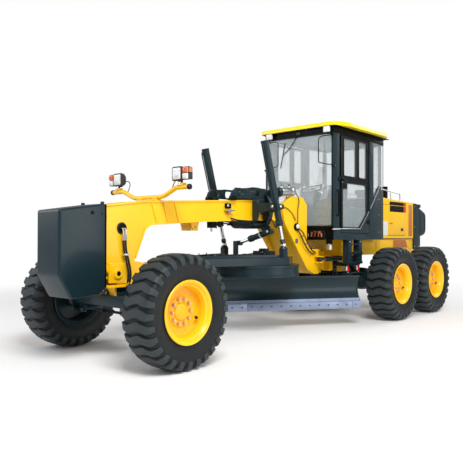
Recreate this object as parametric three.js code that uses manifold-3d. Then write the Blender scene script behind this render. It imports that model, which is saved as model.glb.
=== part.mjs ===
// An articulated motor grader, built as a three.js scene graph of separate solids.
// Millimetres, +Z up. The machine points to -Y and its left side is +X. Inside the machine group,
// y is the distance behind the front axle, x the distance left of the centre line and z the height.
import * as THREE from "three";
import { mergeVertices } from "three/addons/utils/BufferGeometryUtils.js";
import Module from "manifold-3d";

const wasm = await Module();
wasm.setup();

// ---------- driving dimensions ----------
const seatGap = 0.3; // between faces that rest on each other
const runningGap = 8; // between pieces that move past each other
const frontAxlePlace = -3640; // the front axle's y in the part's own frame

// wheels
const tyreRadius = 674;
const tyreWidth = 440;
const wheelSegments = 20;
const wheelTrack = 2190; // between the tyres' middle planes
const rimSeatRadius = 325;
const rimFlangeRadius = 370;
const beadHalfWidth = 185;
const discPlace = 45; // the wheel disc's outer face, outboard of the tyre's middle plane
const discThickness = 16;
const tandemFrontPlace = 5456;
const tandemSpacing = 1540;
const axleHeight = tyreRadius * Math.cos(Math.PI / wheelSegments);
const hubInset = 60; // the hub's inner face, inboard of the tyre's middle plane
const tandemMiddle = tandemFrontPlace + tandemSpacing / 2;

// front frame
const beamHalfWidth = 210;
const beamTop = { y0: 210, z0: 1980, y1: 2370, z1: 2094 }; // the beam's straight top
const noseFace = -370; // the beam's front end, where the counterweight bolts on
const columnFoot = 900;
const goosePlateHalfWidth = 320;
const gooseBack = 3765;
const pivotPlace = 4350; // the articulation pin
const earTop = 1310;
const earBottom = 872;
const earThickness = 42;
const earRadius = 190;
const steerCylinderPin = { x: 395, y: 4050, z: 1130 }; // the articulation cylinder's rod eye

// counterweight
const counterweightFront = -1010;
const counterweightHalfWidth = 240;
const counterweightTop = 1915;

// front axle and steering
const kingpinX = 800;
const kingpinRadius = 60;
const kingpinHalfHeight = 110;
const earKnuckleThickness = 40;
const steeringArm = { x: 740, y: 250 };
const tieRodRadius = 20;

// blade gear
const circleCentre = 2670;
const circleRadius = 750;
const circleTop = 1085;
const circleBottom = 905;
const circleInner = 560;
const drawbarBall = { y: 430, z: 1120, radius: 62 };
const drawbarRear = 3230;
const bladeAngle = 56.4 * (Math.PI / 180); // the blade's turn from square across the machine
const bladeLength = 4090;
const bladeBottom = 300;
const bladeTop = 858;
const bladeOffset = -60; // the blade's middle, from the circle's centre along the blade
const bladeTipPin = { y: 429, z: 640 }; // the tip axis in the circle's own frame
const bladeEdgePlace = 72; // the cutting edge behind the circle's centre, in the circle's own frame
const circleArmX = 520;
const bladeRails = [bladeTipPin.z - 150, bladeTipPin.z + 90]; // the bottoms of the bracket's two rails
const railPlace = bladeTipPin.y - 160; // the front faces of those rails
const liftPin = { x: 620, y: 2500, z: 1985 }; // where a lift cylinder turns in its gimbal
const liftFoot = { x: 620, y: 2680, z: 1390 }; // the ball at the end of its rod
const liftBallRadius = 42;
const gimbal = { halfX: 85, halfY: 84, halfZ: 35, holeX: 57, holeY: 68 };
const liftCylinderTop = 2960;
const shiftPin = { x: 350, y: 2700, z: 1610 }; // the centre-shift cylinder's end on the saddle
const shiftFoot = { x: -300, y: 2700, z: 1420 };

// rear frame
const railHalfWidth = 480;
const railWidth = 100;
const railTop = 1480;
const railBottom = 1180;
const railFront = 4640;
const railBack = 7650;
const tandemCaseInner = 640;
const tandemCaseOuter = 845;
const steerCylinderFoot = { x: 400, y: 4760, z: 1130 };

// hood and rear guard
const hoodHalfWidth = 500;
const hoodFront = 6010;
const hoodBack = 7655;
const hoodTopFront = 2335;
const hoodTopBack = 2285;
const hoodBottom = railTop + seatGap;
const hoodWall = 40;
const hoodDoorFront = 6180;
const hoodDoorBack = 7300;
const hoodDoorBottom = 1560;
const hoodDoorTop = 2190;
const guardBack = 8290;

// cab
const cabFront = 3950;
const cabBack = 5870;
const cabHalfWidth = 740;
const cabFrontHalfWidth = 720;
const cabBackHalfWidth = 680;
const cabCorner = 5420; // where the cab's sides turn in towards the back
const cheekFront = 5200; // the slanted panel behind the door
const cheekBack = 5620;
const cheekTop = 2465;
const cabFloor = 1560;
const cabBaseBottom = 1500;
const cabSill = 1720; // the bottom of the windscreen
const cabPostTop = 3330;
const headerTop = 3430;
const roofTop = 3560;
const roofHalfWidth = 900;
const roofFront = 3890;
const roofBack = 5930;
const cabWall = 60;
const doorFront = 4200;
const doorBack = 5190;
const doorBottom = 1690;
const doorTop = 3300;
const doorGap = 6;
const glassThickness = 8;

// steps and lamps
const stepOuter = 760;
const stepFront = 4300;
const lampBarPlace = 490;

const beamTopAt = (y) =>
  beamTop.z0 + ((y - beamTop.y0) / (beamTop.y1 - beamTop.y0)) * (beamTop.z1 - beamTop.z0);

// ---------- materials ----------
const finish = (color, roughness, metalness = 0) =>
  new THREE.MeshStandardMaterial({ color, roughness, metalness });
const materials = {
  yellow: finish(0xf9c11c, 0.4),
  dark: finish(0x2a4046, 0.45),
  tyre: finish(0x1c2023, 0.9),
  steel: finish(0x9aa4b8, 0.45, 1),
  chrome: finish(0xd8dde0, 0.15, 1),
  glass: finish(0xbfd2d6, 0.05),
  plastic: finish(0x202428, 0.6),
  fabric: finish(0x2b2d30, 0.9),
};

// ---------- solids ----------
// A closed three.js geometry as a manifold solid, turned right side out.
function solid(geometry) {
  const bare = geometry.clone();
  bare.deleteAttribute("normal");
  bare.deleteAttribute("uv");
  const merged = mergeVertices(bare, 1e-3);
  const made = new wasm.Manifold(
    new wasm.Mesh({
      numProp: 3,
      vertProperties: new Float32Array(merged.attributes.position.array),
      triVerts: new Uint32Array(merged.index.array),
    }),
  );
  if (made.volume() >= 0) return made;
  const turned = new Uint32Array(merged.index.array);
  for (let i = 0; i < turned.length; i += 3)
    [turned[i + 1], turned[i + 2]] = [turned[i + 2], turned[i + 1]];
  return new wasm.Manifold(
    new wasm.Mesh({
      numProp: 3,
      vertProperties: new Float32Array(merged.attributes.position.array),
      triVerts: turned,
    }),
  );
}

const join = (...solids) => solids.reduce((all, one) => all.add(one));
const cut = (body, ...tools) => tools.reduce((all, one) => all.subtract(one), body);

function box(x0, x1, y0, y1, z0, z1) {
  const geometry = new THREE.BoxGeometry(x1 - x0, y1 - y0, z1 - z0);
  return solid(geometry.translate((x0 + x1) / 2, (y0 + y1) / 2, (z0 + z1) / 2));
}

// A box on both sides of the centre line, or the same box mirrored to one side.
const wide = (half, y0, y1, z0, z1) => box(-half, half, y0, y1, z0, z1);
const sideBox = (side, x0, x1, y0, y1, z0, z1) =>
  side > 0 ? box(x0, x1, y0, y1, z0, z1) : box(-x1, -x0, y0, y1, z0, z1);

function outline(points) {
  const shape = new THREE.Shape();
  points.forEach(([a, b], i) => (i ? shape.lineTo(a, b) : shape.moveTo(a, b)));
  shape.closePath();
  return shape;
}

// An outline drawn in (y, z) and as thick as x0 to x1.
function sidePlate(points, x0, x1) {
  const geometry = new THREE.ExtrudeGeometry(outline(points), {
    depth: x1 - x0,
    bevelEnabled: false,
  });
  geometry.applyMatrix4(
    new THREE.Matrix4().set(0, 0, 1, x0, 1, 0, 0, 0, 0, 1, 0, 0, 0, 0, 0, 1),
  );
  return solid(geometry);
}

// An outline drawn in (x, y), from z0 up to z1.
function flatPlate(points, z0, z1) {
  const geometry = new THREE.ExtrudeGeometry(outline(points), {
    depth: z1 - z0,
    bevelEnabled: false,
  });
  return solid(geometry.translate(0, 0, z0));
}

// An outline drawn in (x, z), from y0 to y1.
function crossPlate(points, y0, y1) {
  const geometry = new THREE.ExtrudeGeometry(outline(points), {
    depth: y1 - y0,
    bevelEnabled: false,
  });
  geometry.applyMatrix4(
    new THREE.Matrix4().set(1, 0, 0, 0, 0, 0, 1, y0, 0, 1, 0, 0, 0, 0, 0, 1),
  );
  return solid(geometry);
}

// A round bar between two points.
function bar(from, to, radius, sides = 12) {
  const a = new THREE.Vector3(...from);
  const b = new THREE.Vector3(...to);
  const geometry = new THREE.CylinderGeometry(radius, radius, a.distanceTo(b), sides);
  const turn = new THREE.Quaternion().setFromUnitVectors(
    new THREE.Vector3(0, 1, 0),
    b.clone().sub(a).normalize(),
  );
  geometry.applyQuaternion(turn);
  const middle = a.add(b).multiplyScalar(0.5);
  return solid(geometry.translate(middle.x, middle.y, middle.z));
}

const post = (x, y, z0, z1, radius, sides = 12) => bar([x, y, z0], [x, y, z1], radius, sides);

// A bent round tube through corner points.
function bentTube(points, radius, sides = 8, steps = 24) {
  const path = new THREE.CatmullRomCurve3(points.map((p) => new THREE.Vector3(...p)));
  const section = new THREE.Shape();
  for (let i = 0; i < sides; i++) {
    const turn = (i / sides) * 2 * Math.PI;
    const at = [radius * Math.cos(turn), radius * Math.sin(turn)];
    if (i) section.lineTo(...at);
    else section.moveTo(...at);
  }
  section.closePath();
  return solid(new THREE.ExtrudeGeometry(section, { steps, extrudePath: path }));
}

// A profile of [radius, x] points turned round the x axis, with a flat facet at the bottom.
function turned(profile, segments = wheelSegments) {
  const points = profile.map(([r, x]) => new THREE.Vector2(r, x));
  const closed = profile[0][0] > 0;
  if (closed) points.push(points[0].clone());
  const geometry = new THREE.LatheGeometry(points, segments, Math.PI / segments);
  geometry.rotateZ(-Math.PI / 2);
  return solid(geometry);
}

function geometryOf(made) {
  const mesh = made.getMesh();
  const positions = new Float32Array(mesh.numVert * 3);
  for (let i = 0; i < mesh.numVert; i++)
    positions.set(mesh.vertProperties.subarray(i * mesh.numProp, i * mesh.numProp + 3), i * 3);
  const geometry = new THREE.BufferGeometry();
  geometry.setAttribute("position", new THREE.BufferAttribute(positions, 3));
  geometry.setIndex(new THREE.BufferAttribute(new Uint32Array(mesh.triVerts), 1));
  geometry.computeVertexNormals();
  return geometry;
}

function piece(group, name, made, material) {
  const mesh = new THREE.Mesh(geometryOf(made), materials[material]);
  mesh.name = name;
  group.add(mesh);
  return mesh;
}

const group = new THREE.Group();
const machine = new THREE.Group();
machine.position.y = frontAxlePlace;
group.add(machine);
const sides = [
  ["left", 1],
  ["right", -1],
];

// ---------- wheels ----------
const tyreSolid = turned([
  [rimSeatRadius, -beadHalfWidth],
  [rimFlangeRadius + 12, -beadHalfWidth],
  [450, -tyreWidth / 2],
  [620, -tyreWidth / 2 + 8],
  [tyreRadius, -tyreWidth / 2 + 55],
  [tyreRadius, tyreWidth / 2 - 55],
  [620, tyreWidth / 2 - 8],
  [450, tyreWidth / 2],
  [rimFlangeRadius + 12, beadHalfWidth],
  [rimSeatRadius, beadHalfWidth],
]);

function rimSolid() {
  const seat = rimSeatRadius - seatGap;
  const flange = beadHalfWidth + seatGap;
  return turned([
    [0, -hubInset],
    [110, -hubInset],
    [110, discPlace - discThickness],
    [seat - 25, discPlace - discThickness],
    [seat - 25, -204],
    [rimFlangeRadius, -204],
    [rimFlangeRadius, -flange],
    [seat, -flange],
    [seat, flange],
    [rimFlangeRadius, flange],
    [rimFlangeRadius, 204],
    [seat - 25, 204],
    [seat - 25, discPlace],
    [172, discPlace],
    [172, discPlace + 12],
    [0, discPlace + 20],
  ]);
}

function wheel(name, side, place) {
  const holder = new THREE.Group();
  holder.position.set((side * wheelTrack) / 2, place, axleHeight);
  if (side < 0) holder.rotation.z = Math.PI;
  machine.add(holder);
  piece(holder, `${name}_tyre`, tyreSolid, "tyre");
  piece(holder, `${name}_rim`, rimSolid(), "yellow");
}

for (const [word, side] of sides) {
  wheel(`front_${word}`, side, 0);
  wheel(`middle_${word}`, side, tandemFrontPlace);
  wheel(`rear_${word}`, side, tandemFrontPlace + tandemSpacing);
}

// ---------- front axle and steering ----------
const axlePlateTop = columnFoot - seatGap;

function frontAxle() {
  const beam = crossPlate(
    [
      [-kingpinX, axleHeight - 80],
      [-420, axleHeight - 70],
      [-200, axleHeight + 15],
      [200, axleHeight + 15],
      [420, axleHeight - 70],
      [kingpinX, axleHeight - 80],
      [kingpinX, axleHeight + 80],
      [560, axleHeight + 90],
      [200, axlePlateTop - 30],
      [-200, axlePlateTop - 30],
      [-560, axleHeight + 90],
      [-kingpinX, axleHeight + 80],
    ],
    -50,
    50,
  );
  const block = wide(150, -170 + seatGap, 170 - seatGap, axleHeight + 20, axlePlateTop - 5);
  const kingpins = sides.map(([, side]) =>
    post(
      side * kingpinX,
      0,
      axleHeight - kingpinHalfHeight,
      axleHeight + kingpinHalfHeight,
      kingpinRadius,
    ),
  );
  return join(beam, block, ...kingpins);
}

function knuckle(side) {
  const earEdge = kingpinHalfHeight + seatGap;
  const ear = (z0) =>
    join(
      post(side * kingpinX, 0, z0, z0 + earKnuckleThickness, kingpinRadius + 8),
      sideBox(side, kingpinX, kingpinX + 110, -68, 68, z0, z0 + earKnuckleThickness),
    );
  const lowerEar = axleHeight - earEdge - earKnuckleThickness;
  const spindleEnd = wheelTrack / 2 - hubInset - seatGap;
  const arm = flatPlate(
    [
      [side * (kingpinX - 45), 20],
      [side * (steeringArm.x - 25), steeringArm.y - 20],
      [side * (steeringArm.x - 25), steeringArm.y + 28],
      [side * (steeringArm.x + 25), steeringArm.y + 28],
      [side * (steeringArm.x + 40), steeringArm.y - 20],
      [side * (kingpinX + 45), 20],
    ],
    lowerEar,
    lowerEar + earKnuckleThickness,
  );
  return join(
    ear(axleHeight + earEdge),
    ear(lowerEar),
    sideBox(
      side,
      kingpinX + kingpinRadius + 20,
      kingpinX + 110,
      -68,
      68,
      lowerEar,
      axleHeight + earEdge + earKnuckleThickness,
    ),
    bar([side * (kingpinX + 90), 0, axleHeight], [side * spindleEnd, 0, axleHeight], 75),
    arm,
  );
}

function tieRod() {
  const top = axleHeight - kingpinHalfHeight - seatGap - earKnuckleThickness - seatGap;
  const z = top - tieRodRadius;
  const ends = sides.map(([, side]) =>
    post(side * steeringArm.x, steeringArm.y, top - 2 * tieRodRadius, top, 26),
  );
  const reach = steeringArm.x;
  return join(
    bar([-reach, steeringArm.y, z], [reach, steeringArm.y, z], tieRodRadius * 0.9, 8),
    ...ends,
  );
}

piece(machine, "front_axle", frontAxle(), "dark");
for (const [word, side] of sides) piece(machine, `knuckle_${word}`, knuckle(side), "dark");
piece(machine, "tie_rod", tieRod(), "steel");

// ---------- front frame ----------
const earOutline = (radius, rootHalf, root) => {
  const points = [
    [-rootHalf, root],
    [rootHalf, root],
  ];
  for (let i = 0; i <= 12; i++) {
    const turn = (i / 12) * Math.PI;
    points.push([radius * Math.cos(turn), pivotPlace + radius * Math.sin(turn)]);
  }
  return points;
};

function frontFrame() {
  const beam = sidePlate(
    [
      [noseFace, 1200],
      [noseFace, 1905],
      [beamTop.y0, beamTop.z0],
      [beamTop.y1, beamTop.z1],
      [3050, 2060],
      [3300, 2010],
      [3300, 1780],
      [2750, 1800],
      [1270, 1740],
      [350, 1680],
      [250, 1620],
      [90, 1240],
      [60, 1100],
      [60, columnFoot],
      [-140, columnFoot],
      [noseFace + 30, 1100],
    ],
    -beamHalfWidth,
    beamHalfWidth,
  );
  const goose = [
    [3040, 2050],
    [3300, 2200],
    [3620, 2205],
    [gooseBack, 2080],
    [gooseBack, 1430],
    [3900, earTop],
    [4130, earTop],
    [4130, earBottom],
    [3990, earBottom],
    [3780, 960],
    [3470, 1320],
    [3130, 1740],
  ];
  const cheeks = [goosePlateHalfWidth - 60, -goosePlateHalfWidth].map((x) =>
    sidePlate(goose, x, x + 60),
  );
  const core = sidePlate(
    [
      [3180, 2040],
      [3600, 2120],
      [gooseBack - 40, 2000],
      [gooseBack - 40, 1420],
      [3880, earTop - 5],
      [4090, earTop - 5],
      [4090, earBottom + 5],
      [4010, earBottom + 5],
      [3820, 990],
      [3520, 1340],
      [3200, 1800],
    ],
    -goosePlateHalfWidth + 40,
    goosePlateHalfWidth - 40,
  );
  const ears = [earTop - earThickness, earBottom].map((z) =>
    flatPlate(earOutline(earRadius, goosePlateHalfWidth, 4080), z, z + earThickness),
  );
  const flange = (side, z) =>
    sideBox(
      side,
      goosePlateHalfWidth - 30,
      steerCylinderPin.x + 55,
      steerCylinderPin.y - 60,
      steerCylinderPin.y + 55,
      z,
      z + 18,
    );
  const flanges = sides.flatMap(([, side]) => [
    flange(side, steerCylinderPin.z + 42 + seatGap),
    flange(side, steerCylinderPin.z - 42 - seatGap - 18),
  ]);
  const axlePlates = [-200, 170].map((y) => wide(180, y, y + 30, 690, columnFoot + 40));
  const footPlate = wide(beamHalfWidth, -340, 220, columnFoot, columnFoot + 30);
  const ballBracket = join(
    wide(70, 30, drawbarBall.y - drawbarBall.radius - seatGap, drawbarBall.z - 60, drawbarBall.z + 60),
    wide(beamHalfWidth - 20, 20, 200, columnFoot + 5, 1200),
  );
  const wedge = wide(95, 1180, 1330, 1610, 1760);
  return join(beam, ...cheeks, core, ...ears, ...flanges, ...axlePlates, footPlate, ballBracket, wedge);
}

function counterweight() {
  const front = counterweightFront;
  const back = noseFace - seatGap;
  return sidePlate(
    [
      [back, 900],
      [back, counterweightTop],
      [back - 60, counterweightTop],
      [front, counterweightTop - 85],
      [front, 1070],
      [front + 160, 800],
      [back - 90, 830],
    ],
    -counterweightHalfWidth,
    counterweightHalfWidth,
  );
}

function lightBar() {
  const foot = beamTopAt(lampBarPlace + 60) + seatGap;
  const tube = bentTube(
    [
      [-770, lampBarPlace, 2150],
      [-560, lampBarPlace, 2150],
      [-280, lampBarPlace, 2050],
      [0, lampBarPlace, 2045],
      [280, lampBarPlace, 2050],
      [560, lampBarPlace, 2150],
      [770, lampBarPlace, 2150],
    ],
    32,
  );
  const pad = wide(190, lampBarPlace - 60, lampBarPlace + 60, foot, foot + 32);
  const stands = sides.map(([, side]) =>
    sideBox(side, 600, 690, lampBarPlace - 35, lampBarPlace + 35, 2150, 2215),
  );
  return join(tube, pad, ...stands);
}

// ---------- saddle: the yoke round the beam that carries the lift cylinders ----------
function saddle() {
  const half = beamHalfWidth + 60;
  const outer = sidePlate(
    [
      [1850, 2130],
      [1950, 2265],
      [2710, 2290],
      [2770, 2200],
      [2770, 1700],
      [2540, 1700],
      [2540, 1560],
      [2400, 1560],
      [2350, 1640],
      [2350, 2050],
      [1910, 2080],
    ],
    -half,
    half,
  );
  const passage = sidePlate(
    [
      [1500, beamTopAt(1500) + 12],
      [beamTop.y1, beamTop.z1 + 12],
      [3050, 2072],
      [3050, 1780],
      [2750, 1788],
      [1270, 1728],
    ],
    -beamHalfWidth - seatGap,
    beamHalfWidth + seatGap,
  );
  const prong = (side, y) =>
    sideBox(side, half - 20, liftPin.x + 32, y, y + 22, liftPin.z - 40, liftPin.z + 40);
  const prongs = sides.flatMap(([, side]) => [
    prong(side, liftPin.y + gimbal.halfY + seatGap),
    prong(side, liftPin.y - gimbal.halfY - seatGap - 22),
  ]);
  const shiftLug = box(
    half - 20,
    shiftPin.x + 45,
    shiftPin.y - 85,
    shiftPin.y - 50 - seatGap,
    shiftPin.z - 50,
    1760,
  );
  return join(cut(outer, passage), ...prongs, shiftLug);
}

piece(machine, "front_frame", frontFrame(), "yellow");
piece(machine, "counterweight", counterweight(), "dark");
piece(machine, "light_bar", lightBar(), "yellow");
piece(machine, "saddle", saddle(), "dark");

// ---------- drawbar, circle and blade ----------
function drawbar() {
  const tongue = 60;
  const ballFace = drawbarBall.y + drawbarBall.radius + seatGap;
  const top = 1200;
  const padReach = liftFoot.x + 60;
  const arms = flatPlate(
    [
      [-tongue, ballFace + 120],
      [tongue, ballFace + 120],
      [140, 1300],
      [500, 2150],
      [padReach, liftFoot.y - 100],
      [padReach, liftFoot.y + 80],
      [400, drawbarRear],
      [-400, drawbarRear],
      [-padReach, liftFoot.y + 80],
      [-padReach, liftFoot.y - 100],
      [-500, 2150],
      [-140, 1300],
    ],
    circleTop + seatGap,
    top,
  );
  const window = flatPlate(
    [
      [-60, 1600],
      [60, 1600],
      [300, 2200],
      [300, 2850],
      [-300, 2850],
      [-300, 2200],
    ],
    circleTop - 50,
    top + 50,
  );
  const nose = join(
    bar([0, ballFace, drawbarBall.z], [0, ballFace + 160, drawbarBall.z], tongue),
    bar([0, ballFace + 110, drawbarBall.z + 3], [0, 1350, 1150], tongue),
  );
  const liftPads = sides.map(([, side]) =>
    sideBox(
      side,
      liftFoot.x - 45,
      liftFoot.x + 45,
      liftFoot.y - 50,
      liftFoot.y + 50,
      top - 10,
      liftFoot.z - liftBallRadius - runningGap,
    ),
  );
  const shiftEar = box(
    shiftFoot.x - 40,
    shiftFoot.x + 40,
    shiftFoot.y - 115,
    shiftFoot.y - 75,
    top - 10,
    shiftFoot.z + 35,
  );
  const drive = wide(150, 2870, 3080, top - 10, 1290);
  return join(cut(arms, window), nose, ...liftPads, shiftEar, drive);
}

// The ball that the drawbar turns on, between its nose and the bracket on the frame's column.
function drawbarBallSolid() {
  const ball = new THREE.SphereGeometry(drawbarBall.radius, 20, 14);
  return solid(ball.rotateX(Math.PI / 2).translate(0, drawbarBall.y, drawbarBall.z));
}

function circle() {
  const ring = [];
  const hole = [];
  const count = 36;
  for (let i = 0; i < count; i++) {
    const turn = (i / count) * 2 * Math.PI;
    ring.push([circleRadius * Math.cos(turn), circleRadius * Math.sin(turn)]);
    hole.push([circleInner * Math.cos(turn), circleInner * Math.sin(turn)]);
  }
  const body = flatPlate(ring, circleBottom, circleTop);
  const pin = bladeTipPin;
  const arms = [-circleArmX, circleArmX].map((x) =>
    sidePlate(
      [
        [pin.y - 279, circleBottom + 10],
        [pin.y + 120, circleBottom + 10],
        [pin.y + 105, pin.z + 60],
        [pin.y + 45, pin.z - 50],
        [pin.y - 45, pin.z - 50],
        [pin.y - 74, pin.z + 60],
        [pin.y - 60, pin.z + 170],
        [pin.y - 180, pin.z + 220],
      ],
      x - 30,
      x + 30,
    ),
  );
  return join(cut(body, flatPlate(hole, circleBottom - 10, circleTop + 10)), ...arms);
}

// The bracket that tips on the circle's arms and carries the blade's rails.
function bladeBracket() {
  const pin = bladeTipPin;
  const rails = bladeRails.map((z) => wide(620, railPlace, railPlace + 60, z, z + 55));
  const plates = sides.map(([, side]) => {
    const inner = circleArmX + 30 + seatGap;
    const outer = inner + 36;
    return sidePlate(
      [
        [railPlace, bladeRails[0]],
        [railPlace, bladeRails[1] + 55],
        [railPlace + 115, pin.z + 120],
        [pin.y + 50, pin.z + 45],
        [pin.y + 50, pin.z - 45],
        [railPlace + 115, pin.z - 120],
      ],
      side > 0 ? inner : -outer,
      side > 0 ? outer : -inner,
    );
  });
  return join(...rails, ...plates);
}

function blade() {
  const half = bladeLength / 2;
  const front = [];
  const back = [];
  const count = 8;
  const plateFoot = bladeBottom + 130;
  for (let i = 0; i <= count; i++) {
    const share = i / count;
    const z = plateFoot + share * (bladeTop - plateFoot);
    const bow = bladeEdgePlace + 37 + 95 * Math.sin(share * Math.PI * 0.95) + share * 20;
    front.push([bow, z]);
    back.push([bow + 27, z]);
  }
  const profile = [
    [bladeEdgePlace, bladeBottom],
    ...front,
    ...back.reverse(),
    [bladeEdgePlace + 32, bladeBottom],
  ];
  const board = sidePlate(profile, bladeOffset - half, bladeOffset + half);
  const rails = bladeRails.map((z) =>
    box(bladeOffset - 1250, bladeOffset + 1250, railPlace - 85, railPlace - seatGap, z + 5, z + 50),
  );
  return join(board, ...rails);
}

piece(machine, "drawbar_ball", drawbarBallSolid(), "steel");
piece(machine, "drawbar", drawbar(), "dark");
const circleGroup = new THREE.Group();
circleGroup.position.set(0, circleCentre, 0);
circleGroup.rotation.z = bladeAngle;
machine.add(circleGroup);
piece(circleGroup, "circle", circle(), "dark");
piece(circleGroup, "blade_bracket", bladeBracket(), "dark");
piece(circleGroup, "blade", blade(), "dark");

// ---------- hydraulic cylinders ----------
// A cylinder from a foot pin (barrel side) to a rod eye, as a barrel and a rod.
function cylinderPair(holder, name, barrelEnd, rodEye, barrelLength, barrelRadius, rodRadius, eye) {
  const a = new THREE.Vector3(...barrelEnd);
  const b = new THREE.Vector3(...rodEye);
  const along = b.clone().sub(a).normalize();
  const mouth = a.clone().addScaledVector(along, barrelLength);
  const eyeHalf = eye.half;
  const eyeBar = (at) => {
    const offset = new THREE.Vector3(...eye.axis).multiplyScalar(eyeHalf);
    return bar(at.clone().sub(offset).toArray(), at.clone().add(offset).toArray(), eye.radius);
  };
  const bore = bar(
    a.clone().addScaledVector(along, eye.radius + 40).toArray(),
    mouth.clone().addScaledVector(along, 10).toArray(),
    rodRadius + 0.8,
  );
  const barrel = cut(join(bar(a.toArray(), mouth.toArray(), barrelRadius), eyeBar(a)), bore);
  const rodStart = a.clone().addScaledVector(along, eye.stroke);
  const rod = join(bar(rodStart.toArray(), b.toArray(), rodRadius), eyeBar(b));
  piece(holder, `${name}_barrel`, barrel, "dark");
  piece(holder, `${name}_rod`, rod, "chrome");
}

for (const [word, side] of sides) {
  cylinderPair(
    machine,
    `articulation_cylinder_${word}`,
    [side * steerCylinderFoot.x, steerCylinderFoot.y, steerCylinderFoot.z],
    [side * steerCylinderPin.x, steerCylinderPin.y, steerCylinderPin.z],
    500,
    40,
    22,
    { axis: [0, 0, 1], half: 41, radius: 40, stroke: 230 },
  );
}

// A lift cylinder hangs in the saddle's prongs by a gimbal partway down its barrel.
function liftCylinder(word, side) {
  const foot = new THREE.Vector3(side * liftFoot.x, liftFoot.y, liftFoot.z);
  const pin = new THREE.Vector3(side * liftPin.x, liftPin.y, liftPin.z);
  const along = foot.clone().sub(pin).normalize();
  const place = (distance) => pin.clone().addScaledVector(along, distance).toArray();
  const up = (liftCylinderTop - liftPin.z) / -along.z;
  const barrelFoot = 300;
  const rodRadius = 28;
  const frame = cut(
    box(
      pin.x - gimbal.halfX,
      pin.x + gimbal.halfX,
      pin.y - gimbal.halfY,
      pin.y + gimbal.halfY,
      pin.z - gimbal.halfZ,
      pin.z + gimbal.halfZ,
    ),
    box(
      pin.x - gimbal.holeX,
      pin.x + gimbal.holeX,
      pin.y - gimbal.holeY,
      pin.y + gimbal.holeY,
      pin.z - gimbal.halfZ - 10,
      pin.z + gimbal.halfZ + 10,
    ),
  );
  const reachX = gimbal.holeX - seatGap;
  const trunnion = bar([pin.x - reachX, pin.y, pin.z], [pin.x + reachX, pin.y, pin.z], 26);
  const barrel = cut(
    join(bar(place(-up), place(barrelFoot), 52), trunnion),
    bar(place(-up + 60), place(barrelFoot + 10), rodRadius + 0.8),
  );
  const ball = new THREE.SphereGeometry(liftBallRadius, 14, 10);
  ball.rotateX(Math.PI / 2).translate(foot.x, foot.y, foot.z);
  const rod = join(bar(place(-300), place(foot.distanceTo(pin) - 10), rodRadius), solid(ball));
  piece(machine, `lift_gimbal_${word}`, frame, "dark");
  piece(machine, `lift_cylinder_${word}_barrel`, barrel, "dark");
  piece(machine, `lift_cylinder_${word}_rod`, rod, "chrome");
}
for (const [word, side] of sides) liftCylinder(word, side);

cylinderPair(
  machine,
  "centre_shift_cylinder",
  [shiftPin.x, shiftPin.y, shiftPin.z],
  [shiftFoot.x, shiftFoot.y, shiftFoot.z],
  455,
  48,
  25,
  { axis: [0, 1, 0], half: 50, radius: 40, stroke: 330 },
);

// ---------- rear frame, axle and tandem cases ----------
function rearFrame() {
  const rails = sides.map(([, side]) =>
    sideBox(side, railHalfWidth - railWidth, railHalfWidth, railFront, railBack, railBottom, railTop),
  );
  const crossmembers = [
    wide(railHalfWidth, railFront, railFront + 110, railBottom, railTop),
    wide(railHalfWidth, railBack - 150, railBack, railBottom, railTop),
  ];
  const boss = post(
    0,
    pivotPlace,
    earBottom + earThickness + seatGap,
    earTop - earThickness - seatGap,
    140,
    16,
  );
  const tongue = wide(
    110,
    pivotPlace,
    railFront + 110,
    earBottom + earThickness + runningGap,
    earTop - earThickness - runningGap,
  );
  const apron = wide(230, railFront, railFront + 110, 900, railBottom + 5);
  const cylinderBrackets = sides.map(([, side]) =>
    join(
      sideBox(
        side,
        steerCylinderFoot.x - 45,
        railHalfWidth,
        steerCylinderFoot.y - 50,
        steerCylinderFoot.y + 60,
        steerCylinderFoot.z - 41 - seatGap - 22,
        steerCylinderFoot.z - 41 - seatGap,
      ),
      sideBox(
        side,
        steerCylinderFoot.x + 52,
        railHalfWidth,
        steerCylinderFoot.y - 50,
        steerCylinderFoot.y + 60,
        steerCylinderFoot.z - 60,
        railBottom + 5,
      ),
    ),
  );
  const axlePads = sides.map(([, side]) =>
    sideBox(
      side,
      railHalfWidth - railWidth,
      railHalfWidth,
      tandemMiddle - 170,
      tandemMiddle + 170,
      axleHeight + 130 + seatGap,
      railBottom + 5,
    ),
  );
  return join(...rails, ...crossmembers, boss, tongue, apron, ...cylinderBrackets, ...axlePads);
}

function rearAxle() {
  const half = tandemCaseInner - seatGap;
  return join(
    bar([-half, tandemMiddle, axleHeight], [half, tandemMiddle, axleHeight], 118),
    bar([-170, tandemMiddle, axleHeight], [170, tandemMiddle, axleHeight], 215, 14),
    ...sides.map(([, side]) =>
      sideBox(
        side,
        railHalfWidth - railWidth,
        railHalfWidth,
        tandemMiddle - 120,
        tandemMiddle + 120,
        axleHeight,
        axleHeight + 130,
      ),
    ),
  );
}

function tandemCase(side) {
  const front = tandemFrontPlace;
  const back = tandemFrontPlace + tandemSpacing;
  const hubFace = wheelTrack / 2 - hubInset - seatGap;
  const shape = sidePlate(
    [
      [front - 190, axleHeight + 60],
      [front - 100, axleHeight + 165],
      [back + 100, axleHeight + 165],
      [back + 190, axleHeight + 60],
      [back + 190, axleHeight - 80],
      [back + 100, axleHeight - 170],
      [front - 100, axleHeight - 170],
      [front - 190, axleHeight - 80],
    ],
    side > 0 ? tandemCaseInner : -tandemCaseOuter,
    side > 0 ? tandemCaseOuter : -tandemCaseInner,
  );
  const stubs = [front, back].map((y) =>
    bar([side * (tandemCaseOuter - 20), y, axleHeight], [side * hubFace, y, axleHeight], 95),
  );
  return join(shape, ...stubs);
}

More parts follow.
